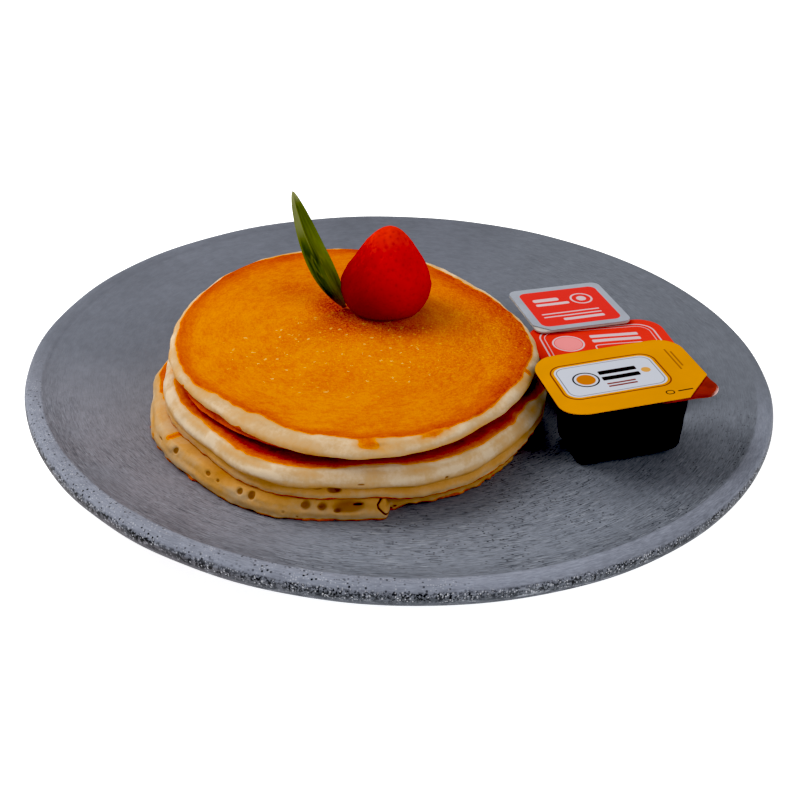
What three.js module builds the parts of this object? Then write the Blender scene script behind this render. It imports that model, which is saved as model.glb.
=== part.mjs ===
// A stack of three pancakes on a round stoneware plate, with a strawberry and a leaf on top
// and three shut portion packs beside the stack.
//
// Millimetres. +X points to the plate's right, +Y to its back, +Z up.
// The origin is the middle of the plate's foot, at the height of the table.

import * as THREE from 'three';

// ---------------------------------------------------------------- driving dimensions

const clearance = 0.3;            // gap between pieces that lie on each other

const plate = {
  crestRadius: 137,               // highest line of the rim
  crestHeight: 17.5,
  outerRadius: 138.8,
  floorHeight: 11,                // middle of the well
  floorRadius: 60,                // the well is flat out to here
  wellRadius: 131,                // and rises out to here, where the rim's bead begins
  wellRise: 5.5,
  footRadius: 90,
  footWidth: 8,
  footHeight: 4.5,
  rimUnderside: 10.3,             // height of the rim's lower edge
};

// One slow wave in an outline: how many crests, how high (mm), and where one crest lies (degrees).
const wave = (count, size, turn) => ({ count, size, turn });
// One lobe of an outline: where it lies and how wide it is (degrees), and how far it stands out (mm).
const lobe = (turn, width, size) => ({ turn, width, size });

// rimHeight is the height of the crust's edge at the pancake's middle line, and slope is how much
// it climbs towards the back. A tuck is how far the side draws in at its top or bottom edge, curl is
// how far the bottom edge lifts off what it lies on, bulge is where the side is widest (0 bottom,
// 1 top), and crease is the fold round the waist. torn is the stretch, in degrees, where the edge is
// ragged and short.
const pancakes = [
  {
    name: 'pancake_bottom', x: -17.5, y: -36.4, radius: 67.6,
    waves: [wave(2, 2, 50), wave(5, 0.8, -22), wave(7, 0.8, -7)],
    lobes: [lobe(166.7, 14, 8.4), lobe(266, 16, -1.3), lobe(318, 22, 2.6)],
    rimHeight: 20.2, slope: 0.004, crown: 0.9,
    upperTuck: 3.4, lowerTuck: 0.5, curl: 0, bulge: 0.2,
    crease: { depth: 0.5, place: 0.55 },
    torn: { from: 282.5, to: 372, depth: 5, stepIn: 3, stepOut: 15 },
  },
  {
    name: 'pancake_middle', x: -17.3, y: -34.2, radius: 67.6,
    waves: [wave(2, 0.9, -25), wave(3, 0.8, 32), wave(4, 0.8, -22), wave(7, 0.8, -5)],
    lobes: [lobe(184, 26, -2.2), lobe(225, 12, -1)],
    rimHeight: 29.6, slope: 0.01, crown: 1.2,
    upperTuck: 4, lowerTuck: 0.6, curl: 0, bulge: 0.5,
    crease: { depth: 1.7, place: 0.32 },
    torn: null,
  },
  {
    name: 'pancake_top', x: -17.9, y: -24.6, radius: 67.9,
    waves: [wave(2, 4.4, -74), wave(3, 0.7, -7), wave(4, 1, 7), wave(5, 0.5, -8)],
    lobes: [lobe(230, 16, -1.2)],
    rimHeight: 37.7, slope: 0.026, crown: 0.9,
    upperTuck: 3.8, lowerTuck: 4.2, curl: 1.4, bulge: 0.42,
    crease: { depth: 0.3, place: 0.2 },
    torn: null,
  },
];
const creaseWidth = 0.11;         // of the side's height
const curlPower = 9;              // the curl stays near the edge
const outlineSteps = 52;
const sideSteps = [0, 0.1, 0.22, 0.34, 0.52, 0.7, 0.88, 1];
const ringFractions = [0.4, 0.75, 0.94];

// The berry is a blunt cone: round at the shoulder, narrowing to a soft tip.
const strawberry = {
  x: -6.2, y: -6.3, radius: 16.3, height: 32.5, baseRadius: 10.2,
  shoulder: 0.31,                 // height of the widest place, of the whole height
  fullness: 1.33, roundness: 1.66,
};

// The leaf stands on its stem end beside the berry and leans to the left.
const leaf = {
  base: new THREE.Vector3(-21.3, -8.6, 39.4),
  tip: new THREE.Vector3(-40.3, -2.6, 81.2),
  bow: new THREE.Vector3(-0.8, -1.5, -1),
  width: 9,
  widest: 0.42,                   // share of the length from the stem end
  fold: 2,                        // how far the halves lift out of the midrib
  thickness: 0.7,
  endWidth: 0.09,                 // of the full width, at the stem end and the tip
};

// A pack is a tapered tub with a flat flange, shut by a foil lid. x, y, z is the middle of the lid's
// top face. yaw turns it on the plate, and the leans tip it about X and Y (degrees).
const packs = [
  {
    name: 'syrup', x: 73.9, y: -53.4, z: 40.4, yaw: 14, leanX: 1, leanY: -4.5,
    width: 53, depth: 38, height: 26.9, cornerRadius: 8.5, cutSide: 'right', cutCorner: 11.2,
    wallInset: 5.8, baseInset: 7.5, baseEdge: 3.2,
    tubColor: 0x0d0705, lidColor: 0xe39b05,
  },
  {
    name: 'jam', x: 76.4, y: -7, z: 26.5, yaw: 10, leanX: 0, leanY: -2,
    width: 53, depth: 38, height: 14.4, cornerRadius: 9, cutSide: 'none', cutCorner: 0,
    wallInset: 4.4, baseInset: 7.5, baseEdge: 2.4,
    tubColor: 0xd9d4cc, lidColor: 0xd92a1c,
  },
  {
    name: 'butter', x: 65.9, y: 23.3, z: 27.8, yaw: 15.4, leanX: 0, leanY: -2,
    width: 39, depth: 36, height: 15.6, cornerRadius: 3.4, cutSide: 'left', cutCorner: 5.6,
    wallInset: 6.6, baseInset: 9.6, baseEdge: 2.2,
    tubColor: 0xd9d4cc, lidColor: 0xaeb4c0,
  },
];
const lidThickness = 0.3;
const flangeThickness = 0.7;
const cornerSteps = 5;

// ---------------------------------------------------------------- helpers

const radians = THREE.MathUtils.degToRad;
const smooth = THREE.MathUtils.smoothstep;
const part = new THREE.Group();

function finish(color, roughness) {
  return new THREE.MeshStandardMaterial({ color, roughness, metalness: 0 });
}

function addMesh(group, name, geometry, material) {
  const mesh = new THREE.Mesh(geometry, material);
  mesh.name = name;
  group.add(mesh);
  return mesh;
}

// Joins rows of points into one closed skin. Every row runs anticlockwise seen from above,
// the rows go from the lowest to the highest, and each end closes on its own middle point.
function loft(rows, lowMiddle, highMiddle) {
  const count = rows[0].length;
  const points = [...rows.flat(), lowMiddle, highMiddle];
  const low = points.length - 2;
  const high = points.length - 1;
  const lastRow = (rows.length - 1) * count;
  const faces = [];
  for (let j = 0; j < count; j += 1) {
    const next = (j + 1) % count;
    faces.push(low, next, j);
    for (let row = 0; row < lastRow; row += count) {
      faces.push(row + j, row + next, row + count + next);
      faces.push(row + j, row + count + next, row + count + j);
    }
    faces.push(high, lastRow + j, lastRow + next);
  }
  const geometry = new THREE.BufferGeometry().setFromPoints(points);
  geometry.setIndex(faces);
  geometry.computeVertexNormals();
  return geometry;
}

// ---------------------------------------------------------------- plate

// Height of the plate's upper face, a shallow parabola outside the flat floor.
function wellHeight(x, y) {
  const reach = Math.min(Math.hypot(x, y), plate.wellRadius) - plate.floorRadius;
  const climb = Math.max(0, reach) / (plate.wellRadius - plate.floorRadius);
  return plate.floorHeight + plate.wellRise * climb ** 2;
}

// The section from the middle of the underside, round the foot and the rim, back to the middle.
function makePlate() {
  const { outerRadius, crestRadius, crestHeight, rimUnderside } = plate;
  const footInner = plate.footRadius - plate.footWidth;
  const section = [
    new THREE.Vector2(0, plate.footHeight),
    new THREE.Vector2(footInner - 2, plate.footHeight),
    new THREE.Vector2(footInner, 0),
    new THREE.Vector2(plate.footRadius, 0),
    new THREE.Vector2(plate.footRadius + 2, plate.footHeight),
    new THREE.Vector2(outerRadius - 3.2, rimUnderside - 0.4),
    new THREE.Vector2(outerRadius - 1.3, rimUnderside + 0.7),
    new THREE.Vector2(outerRadius, rimUnderside + 2.6),
    new THREE.Vector2(outerRadius, crestHeight - 2),
    new THREE.Vector2(outerRadius - 0.7, crestHeight - 0.4),
    new THREE.Vector2(crestRadius, crestHeight),
    new THREE.Vector2(crestRadius - 2.2, crestHeight - 0.1),
  ];
  for (const radius of [plate.wellRadius, 122, 110, 96, 80, plate.floorRadius]) {
    section.push(new THREE.Vector2(radius, wellHeight(radius, 0)));
  }
  section.push(new THREE.Vector2(0, plate.floorHeight));
  const geometry = new THREE.LatheGeometry(section, 72);
  geometry.rotateX(Math.PI / 2);
  addMesh(part, 'plate', geometry, finish(0x70747f, 0.6));
}

// ---------------------------------------------------------------- pancakes

// Outer radius at an angle: a circle with slow waves and lobes, and a step in where the edge is torn.
function outline(cake, angle) {
  let radius = cake.radius;
  for (const { count, size, turn } of cake.waves) {
    radius += size * Math.cos(count * (angle - radians(turn)));
  }
  for (const { turn, width, size } of cake.lobes) {
    const away = THREE.MathUtils.euclideanModulo(THREE.MathUtils.radToDeg(angle) - turn + 180, 360) - 180;
    radius += size * Math.exp(-((away / width) ** 2));
  }
  if (cake.torn) {
    const { from, to, depth, stepIn, stepOut } = cake.torn;
    const degrees = from + THREE.MathUtils.euclideanModulo(THREE.MathUtils.radToDeg(angle) - from, 360);
    radius -= depth * smooth(degrees, from, from + stepIn) * (1 - smooth(degrees, to - stepOut, to));
  }
  return radius;
}

// How far the side stands in from the outline at a height share, 0 at the bottom and 1 at the crust.
function sideInset(cake, share) {
  const { bulge, crease } = cake;
  const upper = Math.max(0, share - bulge) / (1 - bulge);
  const lower = Math.max(0, bulge - share) / bulge;
  const fold = crease.depth * Math.exp(-(((share - crease.place) / creaseWidth) ** 2));
  return cake.upperTuck * upper ** 2.4 + cake.lowerTuck * lower ** 2 + fold;
}

const crustHeight = (cake, y) => cake.rimHeight + cake.slope * (y - cake.y);

// Height of the crust at a place: a low dome on a tilted plane.
function topHeight(cake, x, y) {
  const angle = Math.atan2(y - cake.y, x - cake.x);
  const crustRadius = outline(cake, angle) - sideInset(cake, 1);
  const share = Math.min(1, Math.hypot(x - cake.x, y - cake.y) / crustRadius);
  return crustHeight(cake, y) + cake.crown * (1 - share ** 2);
}

// The underside lies on whatever is below it, the side rises from there to the crust's edge,
// and the crust closes the top.
function makePancake(cake, support) {
  const underside = (x, y, lift = 0) => support(x, y) + clearance + lift;
  const angles = Array.from({ length: outlineSteps }, (_, i) => (i / outlineSteps) * 2 * Math.PI);
  const place = (angle, radius) => [cake.x + radius * Math.cos(angle), cake.y + radius * Math.sin(angle)];
  const ring = (share, fraction, height) => angles.map((angle) => {
    const [x, y] = place(angle, fraction * (outline(cake, angle) - sideInset(cake, share)));
    return new THREE.Vector3(x, y, height(x, y, angle));
  });
  const sideHeight = (share) => (x, y, angle) => {
    const [lowX, lowY] = place(angle, outline(cake, angle) - sideInset(cake, 0));
    const low = underside(lowX, lowY, cake.curl);
    return low + share * (crustHeight(cake, y) - low);
  };
  const rows = [
    ...ringFractions.map((fraction) => ring(0, fraction, (x, y) => {
      return underside(x, y, cake.curl * fraction ** curlPower);
    })),
    ...sideSteps.map((share) => ring(share, 1, sideHeight(share))),
    ...ringFractions.toReversed().map((fraction) => ring(1, fraction, (x, y) => topHeight(cake, x, y))),
  ];
  const lowMiddle = new THREE.Vector3(cake.x, cake.y, underside(cake.x, cake.y));
  const highMiddle = new THREE.Vector3(cake.x, cake.y, topHeight(cake, cake.x, cake.y));
  addMesh(part, cake.name, loft(rows, lowMiddle, highMiddle), finish(0xd98a12, 0.7));
}

// ---------------------------------------------------------------- strawberry

// Radius at a height share: a quarter ellipse up to the shoulder, then a rounded cone.
function berryRadius(share) {
  const { radius, baseRadius, shoulder, fullness, roundness } = strawberry;
  if (share < shoulder) {
    const fall = 1 - share / shoulder;
    return baseRadius + (radius - baseRadius) * Math.sqrt(1 - fall ** 2);
  }
  const climb = (share - shoulder) / (1 - shoulder);
  return radius * (1 - climb ** fullness) ** (1 / roundness);
}

function makeStrawberry(below) {
  const shares = [0, 0.05, 0.14, 0.31, 0.45, 0.58, 0.7, 0.81, 0.9, 0.96, 0.99];
  const section = [new THREE.Vector2(0, 0)];
  for (const share of shares) {
    section.push(new THREE.Vector2(berryRadius(share), share * strawberry.height));
  }
  section.push(new THREE.Vector2(0, strawberry.height));
  const geometry = new THREE.LatheGeometry(section, 28);
  geometry.rotateX(Math.PI / 2);
  const mesh = addMesh(part, 'strawberry', geometry, finish(0xb80f0a, 0.45));
  const { x, y } = strawberry;
  mesh.position.set(x, y, topHeight(below, x, y) + clearance);
  mesh.rotation.x = Math.atan(below.slope);
}

// ---------------------------------------------------------------- leaf

// A lance-shaped blade folded along its midrib. Each cross-section has three points on the upper
// face and three on the lower one, carried along a bowed line from the stem end to the tip.
function makeLeaf() {
  const along = leaf.tip.clone().sub(leaf.base);
  const across = new THREE.Vector3(1, 0, 0).addScaledVector(along, -along.x / along.lengthSq()).normalize();
  const outward = new THREE.Vector3().crossVectors(across, along).normalize();
  const middle = (share) => leaf.base.clone()
    .addScaledVector(along, share)
    .addScaledVector(leaf.bow, Math.sin(Math.PI * share));
  const halfWidth = (share) => {
    const swell = Math.sin(Math.PI * share ** 0.8) ** (share < leaf.widest ? 1 : 0.6);
    return (leaf.width / 2) * Math.max(leaf.endWidth, swell);
  };
  const corner = (share, side, face) => middle(share)
    .addScaledVector(across, side * halfWidth(share))
    .addScaledVector(outward, Math.abs(side) * leaf.fold * (halfWidth(share) / (leaf.width / 2)))
    .addScaledVector(outward, face * leaf.thickness / 2);
  const steps = 14;
  const rows = [];
  for (let i = 0; i <= steps; i += 1) {
    const share = i / steps;
    rows.push([
      corner(share, -1, 1), corner(share, 0, 1), corner(share, 1, 1),
      corner(share, 1, -1), corner(share, 0, -1), corner(share, -1, -1),
    ]);
  }
  addMesh(part, 'leaf', loft(rows, middle(0), middle(1)), finish(0x3f6b1e, 0.5));
}

// ---------------------------------------------------------------- packs

// A rectangle with round corners, run anticlockwise. A lid may have one front corner sliced off.
function lidOutline({ width, depth, cornerRadius: radius, cutSide, cutCorner }) {
  const shape = new THREE.Shape();
  const right = width / 2;
  const back = depth / 2;
  const quarter = Math.PI / 2;
  if (cutSide === 'left') {
    shape.moveTo(-right, cutCorner - back);
    shape.lineTo(cutCorner - right, -back);
  } else {
    shape.absarc(radius - right, radius - back, radius, -2 * quarter, -quarter);
  }
  if (cutSide === 'right') {
    shape.lineTo(right - cutCorner, -back);
    shape.lineTo(right, cutCorner - back);
  } else {
    shape.absarc(right - radius, radius - back, radius, -quarter, 0);
  }
  shape.absarc(right - radius, back - radius, radius, 0, quarter);
  shape.absarc(radius - right, back - radius, radius, quarter, 2 * quarter);
  shape.closePath();
  return shape;
}

// The same rounded rectangle as points at one height, drawn in by an inset.
function tubRing(pack, inset, height) {
  const radius = Math.max(1, pack.cornerRadius - inset * 0.5);
  const right = pack.width / 2 - inset - radius;
  const back = pack.depth / 2 - inset - radius;
  const points = [];
  [[right, back], [-right, back], [-right, -back], [right, -back]].forEach(([x, y], corner) => {
    for (let i = 0; i <= cornerSteps; i += 1) {
      const angle = (corner + i / cornerSteps) * (Math.PI / 2);
      points.push(new THREE.Vector3(x + radius * Math.cos(angle), y + radius * Math.sin(angle), height));
    }
  });
  return points;
}

function makePack(pack) {
  const group = new THREE.Group();
  group.position.set(pack.x, pack.y, pack.z);
  group.rotation.set(radians(pack.leanX), radians(pack.leanY), radians(pack.yaw));
  part.add(group);

  const flangeTop = -lidThickness - clearance;
  const flangeBottom = flangeTop - flangeThickness;
  const base = -pack.height;
  const rows = [
    tubRing(pack, pack.baseInset + pack.baseEdge, base),
    tubRing(pack, pack.baseInset + pack.baseEdge * 0.3, base + pack.baseEdge * 0.3),
    tubRing(pack, pack.baseInset, base + pack.baseEdge),
    tubRing(pack, pack.wallInset, flangeBottom),
    tubRing(pack, 0, flangeBottom),
    tubRing(pack, 0, flangeTop),
  ];
  const tub = loft(rows, new THREE.Vector3(0, 0, base), new THREE.Vector3(0, 0, flangeTop));
  addMesh(group, `${pack.name}_tub`, tub, finish(pack.tubColor, 0.35));

  const shape = lidOutline(pack);
  const options = { depth: lidThickness, bevelEnabled: false, curveSegments: cornerSteps };
  const lid = new THREE.ExtrudeGeometry(shape, options);
  lid.translate(0, 0, -lidThickness);
  addMesh(group, `${pack.name}_lid`, lid, finish(pack.lidColor, 0.4));
}

// ---------------------------------------------------------------- the whole

makePlate();
let support = wellHeight;
for (const cake of pancakes) {
  makePancake(cake, support);
  support = (x, y) => topHeight(cake, x, y);
}
makeStrawberry(pancakes.at(-1));
makeLeaf();
packs.forEach(makePack);

export default part;
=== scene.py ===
# %% [markdown]
# # A stack of pancakes on a plate
# Three fried pancakes lie on a round stoneware plate. A strawberry and a leaf stand on top, and
# three shut portion packs lean beside the stack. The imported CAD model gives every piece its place
# and size. This lesson makes each piece again as a fine surface, and then gives it its finish.
#
# Every surface below is worked out with numpy as rings of points: a ring runs once round the
# piece, and the rings follow each other from the bottom to the top. That one idea makes a plate,
# a pancake, a berry, a leaf and a tub. It was chosen because a formula can be checked against the
# real sizes, and a dent or a ragged edge is then just one more term.

import math

import bpy
import numpy as np
from mathutils import Matrix


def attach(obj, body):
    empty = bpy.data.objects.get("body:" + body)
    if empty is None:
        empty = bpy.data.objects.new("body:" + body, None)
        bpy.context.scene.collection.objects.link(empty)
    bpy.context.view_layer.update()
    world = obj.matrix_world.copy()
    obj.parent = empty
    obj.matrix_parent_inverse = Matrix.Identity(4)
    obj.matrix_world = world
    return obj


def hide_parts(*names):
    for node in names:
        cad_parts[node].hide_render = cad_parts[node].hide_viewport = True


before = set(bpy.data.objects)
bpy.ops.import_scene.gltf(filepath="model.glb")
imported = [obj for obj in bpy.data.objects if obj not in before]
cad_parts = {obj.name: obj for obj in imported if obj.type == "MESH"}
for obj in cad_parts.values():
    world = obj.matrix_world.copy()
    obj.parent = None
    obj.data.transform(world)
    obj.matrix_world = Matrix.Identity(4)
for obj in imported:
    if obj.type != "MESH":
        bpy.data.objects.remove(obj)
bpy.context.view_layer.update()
MM = 0.001
TURN = 2 * np.pi

# %% [markdown]
# ## Helpers for surfaces
# `skin` joins rings into one closed mesh: neighbouring rings share quads, and a fan of triangles
# closes each end. `ripple` is a smooth random height made of cosine waves, which is enough for
# lumps in dough and dimples in foil and needs no seam. `push` moves every point along the
# surface's own normal, so that a dent goes straight in wherever it lies.

# %% Rings into a mesh
def skin(name, rings, values=None):
    """Closed surface through rings of points, given in mm as an array (ring, point, xyz).
    Point j of ring i meets point j+1 of ring i and both of ring i+1; each end closes on its mean."""
    count, around, _ = rings.shape
    points = np.concatenate([rings.reshape(-1, 3), [rings[0].mean(0), rings[-1].mean(0)]])
    here = np.arange(around)
    after = (here + 1) % around
    start = np.arange(count - 1)[:, None] * around
    quads = np.stack([start + here, start + after, start + around + after, start + around + here], -1)
    low, high, last = count * around, count * around + 1, (count - 1) * around
    bottom = np.stack([np.full(around, low), after, here], -1)
    top = np.stack([np.full(around, high), last + here, last + after], -1)
    corners = np.concatenate([quads.reshape(-1), bottom.reshape(-1), top.reshape(-1)])
    sizes = np.concatenate([np.full((count - 1) * around, 4), np.full(2 * around, 3)])
    mesh = bpy.data.meshes.new(name)
    mesh.vertices.add(len(points))
    mesh.vertices.foreach_set("co", (points * MM).astype(np.float32).reshape(-1))
    mesh.loops.add(len(corners))
    mesh.loops.foreach_set("vertex_index", corners.astype(np.int32))
    mesh.polygons.add(len(sizes))
    starts = np.concatenate([[0], np.cumsum(sizes)[:-1]])
    mesh.polygons.foreach_set("loop_start", starts.astype(np.int32))
    mesh.polygons.foreach_set("use_smooth", np.ones(len(sizes), bool))
    mesh.update(calc_edges=True)
    mesh.validate()
    for key, value in (values or {}).items():
        full = np.concatenate([value.reshape(count * around, -1), [value[0].reshape(around, -1).mean(0)],
                               [value[-1].reshape(around, -1).mean(0)]])
        kind, field = ("FLOAT_VECTOR", "vector") if full.shape[1] == 3 else ("FLOAT", "value")
        layer = mesh.attributes.new(key, kind, "POINT")
        layer.data.foreach_set(field, full.astype(np.float32).reshape(-1))
    piece = bpy.data.objects.new(name, mesh)
    bpy.context.scene.collection.objects.link(piece)
    print(f"{name}: {len(points)} points, {int((sizes - 2).sum())} triangles")
    return piece


def stand_in(piece, node, material):
    """Puts a finished piece in a CAD node's place, on the one body and material."""
    piece.data.materials.append(material)
    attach(piece, "root")
    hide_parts(node)


# %% Shaping terms
def ripple(points, length, seed, count=26):
    """Smooth random height of about -1 to 1 at points in mm: the sum of `count` cosine waves with
    wavelengths near `length`, each in its own random direction, over the square root of count."""
    rng = np.random.default_rng(seed)
    direction = rng.normal(size=(count, 3))
    direction /= np.linalg.norm(direction, axis=1, keepdims=True)
    pace = TURN / (length * rng.uniform(0.7, 1.5, count))
    phase = rng.uniform(0, TURN, count)
    return np.cos(points @ (direction * pace[:, None]).T + phase).sum(-1) / math.sqrt(count) * 0.8


def step(value, low, high):
    """0 below low, 1 above high, and 3t^2 - 2t^3 between them."""
    t = np.clip((value - low) / (high - low), 0, 1)
    return t * t * (3 - 2 * t)


def bell(distance, width):
    """exp(-(distance / width)^2), a soft bump of the given half width."""
    return np.exp(-((distance / width) ** 2))


def normals(rings):
    """Unit normals of rings that are closed round and open upwards: the cross product of the step
    to the next point and the step to the next ring."""
    along = np.roll(rings, -1, 1) - np.roll(rings, 1, 1)
    upward = np.gradient(rings, axis=0)
    out = np.cross(along, upward)
    return out / np.maximum(np.linalg.norm(out, axis=-1, keepdims=True), 1e-9)


def push(rings, height):
    """Moves each point by height, in mm, along the surface's normal."""
    return rings + normals(rings) * height[..., None]


def smooth_line(points, steps):
    """Catmull-Rom curve through a list of points, with `steps` pieces between neighbours."""
    p = np.asarray(points, float)
    slopes = np.gradient(p, axis=0)
    t = (np.arange(steps) / steps)[None, :, None]
    a, b, m, n = p[:-1, None], p[1:, None], slopes[:-1, None], slopes[1:, None]
    curve = (2 * t**3 - 3 * t**2 + 1) * a + (3 * t**2 - 2 * t**3) * b
    curve = curve + (t**3 - 2 * t**2 + t) * m + (t**3 - t**2) * n
    return np.vstack([curve.reshape(-1, p.shape[1]), p[-1]])


def angles(count):
    return np.arange(count) / count * TURN


def turned(angle, degrees):
    """How far an angle in radians lies from a direction in degrees, in degrees from -180 to 180."""
    return (np.degrees(angle) - degrees + 180) % 360 - 180


# %% [markdown]
# ## Helpers for finishes
# A finish is a small network of nodes. `Wires` shortens the calls that add a node and join it up.
# Effects that several finishes share are node groups, built once: `specks` scatters small spots, and
# `printed_shape` measures how far a point lies from a round cornered rectangle, which is enough for
# panels, bars, rings and discs on a printed lid.

# %% Wiring nodes
class Wires:
    """Adds nodes to one tree. An input is given a plain value or another node's output socket."""

    def __init__(self, tree):
        self.tree = tree

    def add(self, kind, inputs=None, **settings):
        node = self.tree.nodes.new(kind)
        for key, value in settings.items():
            setattr(node, key, value)
        for key, value in (inputs or {}).items():
            if isinstance(value, bpy.types.NodeSocket):
                self.tree.links.new(value, node.inputs[key])
            else:
                node.inputs[key].default_value = value
        return node

    def math(self, operation, *values):
        return self.add("ShaderNodeMath", dict(enumerate(values)), operation=operation).outputs[0]

    def product(self, first, *others):
        """All the values multiplied together."""
        for value in others:
            first = self.math("MULTIPLY", first, value)
        return first

    def total(self, first, *others):
        """All the values added up."""
        for value in others:
            first = self.math("ADD", first, value)
        return first

    def without(self, value, share=1.0):
        """1 - share * value, which keeps an effect away from what a mask marks."""
        return self.math("MULTIPLY_ADD", value, -share, 1.0)

    def vector(self, operation, *values, result=0):
        node = self.add("ShaderNodeVectorMath", dict(enumerate(values)), operation=operation)
        return node.outputs[result]

    def split(self, vector):
        return self.add("ShaderNodeSeparateXYZ", {0: vector}).outputs

    def join(self, *parts):
        return self.add("ShaderNodeCombineXYZ", dict(enumerate(parts))).outputs[0]

    def fade(self, value, low, high, to_low=0.0, to_high=1.0):
        """to_low where value is below low, to_high above high, smooth between."""
        inputs = {"Value": value, "From Min": low, "From Max": high, "To Min": to_low, "To Max": to_high}
        return self.add("ShaderNodeMapRange", inputs, interpolation_type="SMOOTHSTEP").outputs[0]

    def mix(self, factor, a, b, blend_type="MIX"):
        inputs = {0: factor, 6: a, 7: b}
        return self.add("ShaderNodeMix", inputs, data_type="RGBA", blend_type=blend_type).outputs[2]

    def paint(self, color, *coats):
        """Lays coats over a colour in turn. A coat is (tint, mask, mask, ...) and covers where the
        product of its masks is 1."""
        color = color if isinstance(color, bpy.types.NodeSocket) else rgba(color)
        for tint, *masks in coats:
            color = self.mix(self.product(*masks), color, rgba(tint))
        return color

    def ramp(self, value, stops):
        """Colour along a list of (position, colour)."""
        node = self.add("ShaderNodeValToRGB", {0: value})
        band = node.color_ramp
        while len(band.elements) < len(stops):
            band.elements.new(0.5)
        for element, (place, color) in zip(band.elements, stops):
            element.position, element.color = place, rgba(color)
        return node.outputs[0]

    def read(self, name, vector=False):
        node = self.add("ShaderNodeAttribute", attribute_name=name)
        return node.outputs["Vector" if vector else "Fac"]

    def noise(self, place, size, detail=2.0, rough=0.5, shift=None):
        """Cloudy noise from 0 to 1 whose lumps are `size` mm across; place is in metres, and a
        shift of it gives another pattern."""
        place = self.vector("ADD", place, shift) if shift else place
        inputs = {"Vector": place, "Scale": 1 / (size * MM), "Detail": detail, "Roughness": rough}
        return self.add("ShaderNodeTexNoise", inputs).outputs[0]

    def place(self):
        return self.add("ShaderNodeTexCoord").outputs["Object"]


def rgba(color):
    return (*color, 1.0)


def shade(red, green, blue):
    """Linear colour of an 8-bit sRGB shade: c/12.92 near black, else ((c + 0.055) / 1.055)^2.4."""
    c = np.array([red, green, blue]) / 255
    return tuple(float(v) for v in np.where(c < 0.04045, c / 12.92, ((c + 0.055) / 1.055) ** 2.4))


def times(color, factor):
    return tuple(c * factor for c in color)


LAMP_GAIN = 0.87  # a lit horizontal surface looks about 1 / 0.87 times as bright as its own colour


def lit(red, green, blue):
    """The colour that looks like this 8-bit shade under the lamps."""
    return times(shade(red, green, blue), LAMP_GAIN)


# %% Shared effects
def new_group(name, inputs, outputs):
    """An empty node group with the given sockets, each (name, kind, default)."""
    group = bpy.data.node_groups.new(name, "ShaderNodeTree")
    for key, kind, default in inputs:
        socket = group.interface.new_socket(key, in_out="INPUT", socket_type=f"NodeSocket{kind}")
        if default is not None:
            socket.default_value = default
    for key, kind in outputs:
        group.interface.new_socket(key, in_out="OUTPUT", socket_type=f"NodeSocket{kind}")
    wires = Wires(group)
    return group, wires, wires.add("NodeGroupInput").outputs, wires.add("NodeGroupOutput").inputs


def build_specks():
    """Spots round random points: a cell counts if its random number is under Share, and the spot
    fades out at Radius (of a cell) from the cell's point."""
    group, w, given, result = new_group(
        "specks",
        [("Place", "Vector", None), ("Density", "Float", 1000.0), ("Share", "Float", 0.2),
         ("Radius", "Float", 0.35)],
        [("Mask", "Float")])
    cells = w.add("ShaderNodeTexVoronoi", {"Vector": given["Place"], "Scale": given["Density"]})
    number = w.add("ShaderNodeSeparateColor", {0: cells.outputs["Color"]}).outputs[0]
    chosen = w.math("LESS_THAN", number, given["Share"])
    near = w.fade(w.math("DIVIDE", cells.outputs["Distance"], given["Radius"]), 0.55, 1.0, 1.0, 0.0)
    w.tree.links.new(w.product(chosen, near), result["Mask"])
    return group


def build_printed_shape():
    """Distance in mm from a round cornered rectangle: with q = |place - centre| - half + corner,
    it is |max(q, 0)| + min(max(qx, qy), 0) - corner, which is negative inside."""
    group, w, given, result = new_group(
        "printed_shape",
        [("Place", "Vector", None), ("Centre", "Vector", None), ("Half", "Vector", None),
         ("Corner", "Float", 1.0), ("Line", "Float", 0.5)],
        [("Inside", "Float"), ("Outline", "Float")])
    away = w.vector("ABSOLUTE", w.vector("SUBTRACT", given["Place"], given["Centre"]))
    flat = w.vector("MULTIPLY", away, (1, 1, 0))
    corner = w.join(given["Corner"], given["Corner"])
    q = w.vector("ADD", w.vector("SUBTRACT", flat, given["Half"]), corner)
    parts = w.split(q)
    outer = w.vector("LENGTH", w.vector("MAXIMUM", q, (0, 0, 0)), result=1)
    inner = w.math("MINIMUM", w.math("MAXIMUM", parts[0], parts[1]), 0.0)
    distance = w.math("SUBTRACT", w.total(outer, inner), given["Corner"])
    w.tree.links.new(w.fade(distance, -0.12, 0.12, 1.0, 0.0), result["Inside"])
    band = w.math("SUBTRACT", w.math("ABSOLUTE", distance), w.product(given["Line"], 0.5))
    w.tree.links.new(w.fade(band, -0.1, 0.1, 1.0, 0.0), result["Outline"])
    return group


SPECKS = build_specks()
PRINTED_SHAPE = build_printed_shape()


def specks(w, place, size, share, radius=0.35, shift=None):
    """Mask of spots in cells `size` mm wide, a share of them filled."""
    place = w.vector("ADD", place, shift) if shift else place
    inputs = {"Place": place, "Density": 1 / (size * MM), "Share": share, "Radius": radius}
    return group_node(w, SPECKS, inputs)[0]


def group_node(w, group, inputs):
    return w.add("ShaderNodeGroup", inputs, node_tree=group).outputs


def new_material(name, **fixed):
    """A material with one Principled BSDF; fixed sockets are set on the shader itself."""
    material = bpy.data.materials.new(name)
    material.use_nodes = True
    shader = material.node_tree.nodes["Principled BSDF"]
    for key, value in fixed.items():
        shader.inputs[key.replace("_", " ")].default_value = value
    return material, Wires(material.node_tree), shader


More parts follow.
